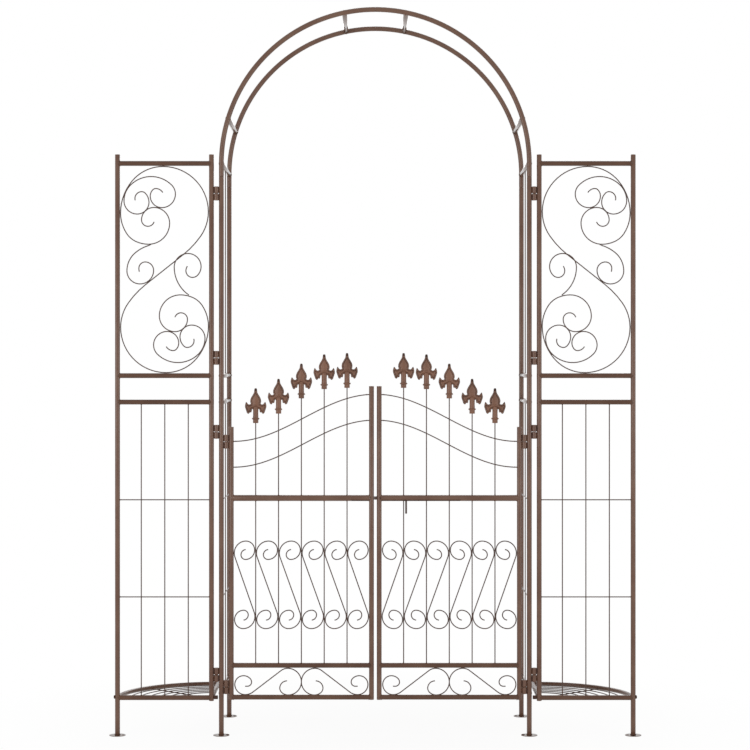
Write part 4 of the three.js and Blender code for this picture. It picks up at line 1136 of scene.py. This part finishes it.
outward = [(RAIL_R + HANDLE_R,), (HANDLE_BEND, 90 - SLOT_DEGREES)]
handle_flat = walk((0, 0), 180 + SLOT_DEGREES, outward, 1)
handle_flat = np.vstack([handle_flat, (handle_flat[-1][0], -HANDLE_DROP)])
handle_path = [(HANDLE_X, FRONT_Y + out, MID_RAIL + rise) for out, rise in handle_flat]
handle = bent(handle_path, HANDLE_R, HANDLE_FACETS, edge=0.9)
piece("latch_handle", [handle], finish="latch")
bolt_ends = [(x, FRONT_Y, MID_RAIL) for x in (BOLT_TIP, BOLT_TIP + BOLT_LENGTH)]
piece("latch_bolt", [straight(*bolt_ends, BOLT_R, edge=1.4)], finish="latch")
print("handle hangs to", round(MID_RAIL - HANDLE_DROP), "mm")

# %% [markdown]
# ## Backdrop
# The studio is white all round. The world looks white to the camera and in reflections, but lights
# softly, so the brown renders as it is written. The light path node tells which kind of ray is asking.

# %% Backdrop
SOFT_LIGHT = 0.55

world = bpy.data.worlds.new("studio")
bpy.context.scene.world = world
world.use_nodes = True
tree = world.node_tree
tree.nodes.clear()
rays = add_node(tree, "ShaderNodeLightPath").outputs
settings = {"operation": "MAXIMUM", 0: rays["Is Camera Ray"], 1: rays["Is Glossy Ray"]}
seen = add_node(tree, "ShaderNodeMath", settings)
settings = {"operation": "MAXIMUM", 0: seen.outputs[0], 1: rays["Is Transmission Ray"]}
clear = add_node(tree, "ShaderNodeMath", settings)
soft = add_node(tree, "ShaderNodeBackground", {"Color": linear("#ffffff"), "Strength": SOFT_LIGHT})
white = add_node(tree, "ShaderNodeBackground", {"Color": linear("#ffffff"), "Strength": 1.0})
mix = add_node(tree, "ShaderNodeMixShader", {0: clear.outputs[0], 1: soft.outputs[0], 2: white.outputs[0]})
add_node(tree, "ShaderNodeOutputWorld", {"Surface": mix.outputs[0]})
print("backdrop: white to the camera,", SOFT_LIGHT, "as a light")

# %% [markdown]
# ## Floor
# The floor is pale and turns to the backdrop's white away from the feet, and it keeps their soft
# shadows. It mixes paint, which can take a shadow, with a white glow that can't, and the glow's share
# grows with the distance from the middle.

# %% Floor
FLOOR_HALF = 6
FADE_FROM, FADE_TO = 0.2, 1.4  # metres from the middle
GLOW_NEAR, GLOW_FAR = 0.9, 1.0

floor_mesh = bpy.data.meshes.new("floor")
corners = [(x * FLOOR_HALF, y * FLOOR_HALF, 0) for x, y in ((-1, -1), (1, -1), (1, 1), (-1, 1))]
floor_mesh.from_pydata(corners, [], [(0, 1, 2, 3)])
floor = bpy.data.objects.new("floor", floor_mesh)
bpy.context.scene.collection.objects.link(floor)
pale = bpy.data.materials.new("pale_floor")
pale.use_nodes = True
tree = pale.node_tree
paint = tree.nodes["Principled BSDF"]
paint.inputs["Base Color"].default_value = linear("#f4f3f1")
paint.inputs["Roughness"].default_value = 0.8
place = add_node(tree, "ShaderNodeTexCoord").outputs["Object"]
away = add_node(tree, "ShaderNodeVectorMath", {"operation": "LENGTH", "Vector": place})
settings = {"From Min": FADE_FROM, "From Max": FADE_TO, "To Min": GLOW_NEAR, "To Max": GLOW_FAR}
fade = add_node(tree, "ShaderNodeMapRange", {"Value": away.outputs["Value"], **settings})
glow = add_node(tree, "ShaderNodeEmission", {"Color": linear("#ffffff"), "Strength": 1.0})
rays = add_node(tree, "ShaderNodeLightPath").outputs
settings = {"operation": "MAXIMUM", 0: rays["Is Camera Ray"], 1: rays["Is Glossy Ray"]}
seen = add_node(tree, "ShaderNodeMath", settings)
settings = {"operation": "MULTIPLY", 0: seen.outputs[0], 1: fade.outputs["Result"]}
share = add_node(tree, "ShaderNodeMath", settings)
mix = add_node(tree, "ShaderNodeMixShader", {0: share.outputs[0], 1: paint.outputs[0], 2: glow.outputs[0]})
tree.links.new(mix.outputs[0], tree.nodes["Material Output"].inputs["Surface"])
floor_mesh.materials.append(pale)
print("floor:", 2 * FLOOR_HALF, "m square")

# %% [markdown]
# ## Lamps
# Two big lamps in front give the tubes their long, even highlights, and a third one behind and above
# keeps the far rungs and rims from sinking into the dark. All three aim at the middle of the arch.

# %% Lamps
AIM = Vector((0, 0, 1.0))

for name, place, size, power in (
    ("lamp_left", (-3.6, -4.2, 1.5), 2.4, 65),
    ("lamp_right", (3.8, -4.0, 1.3), 2.4, 50),
    ("lamp_back", (0.5, 4.0, 3.4), 2.6, 50),
):
    lamp = bpy.data.lights.new(name, "AREA")
    lamp.size, lamp.energy = size, power
    thing = bpy.data.objects.new(name, lamp)
    thing.location = place
    thing.rotation_euler = (AIM - Vector(place)).to_track_quat("-Z", "Y").to_euler()
    bpy.context.scene.collection.objects.link(thing)
bpy.context.scene.view_settings.view_transform = "Standard"
print("lamps:", len(bpy.data.lights))
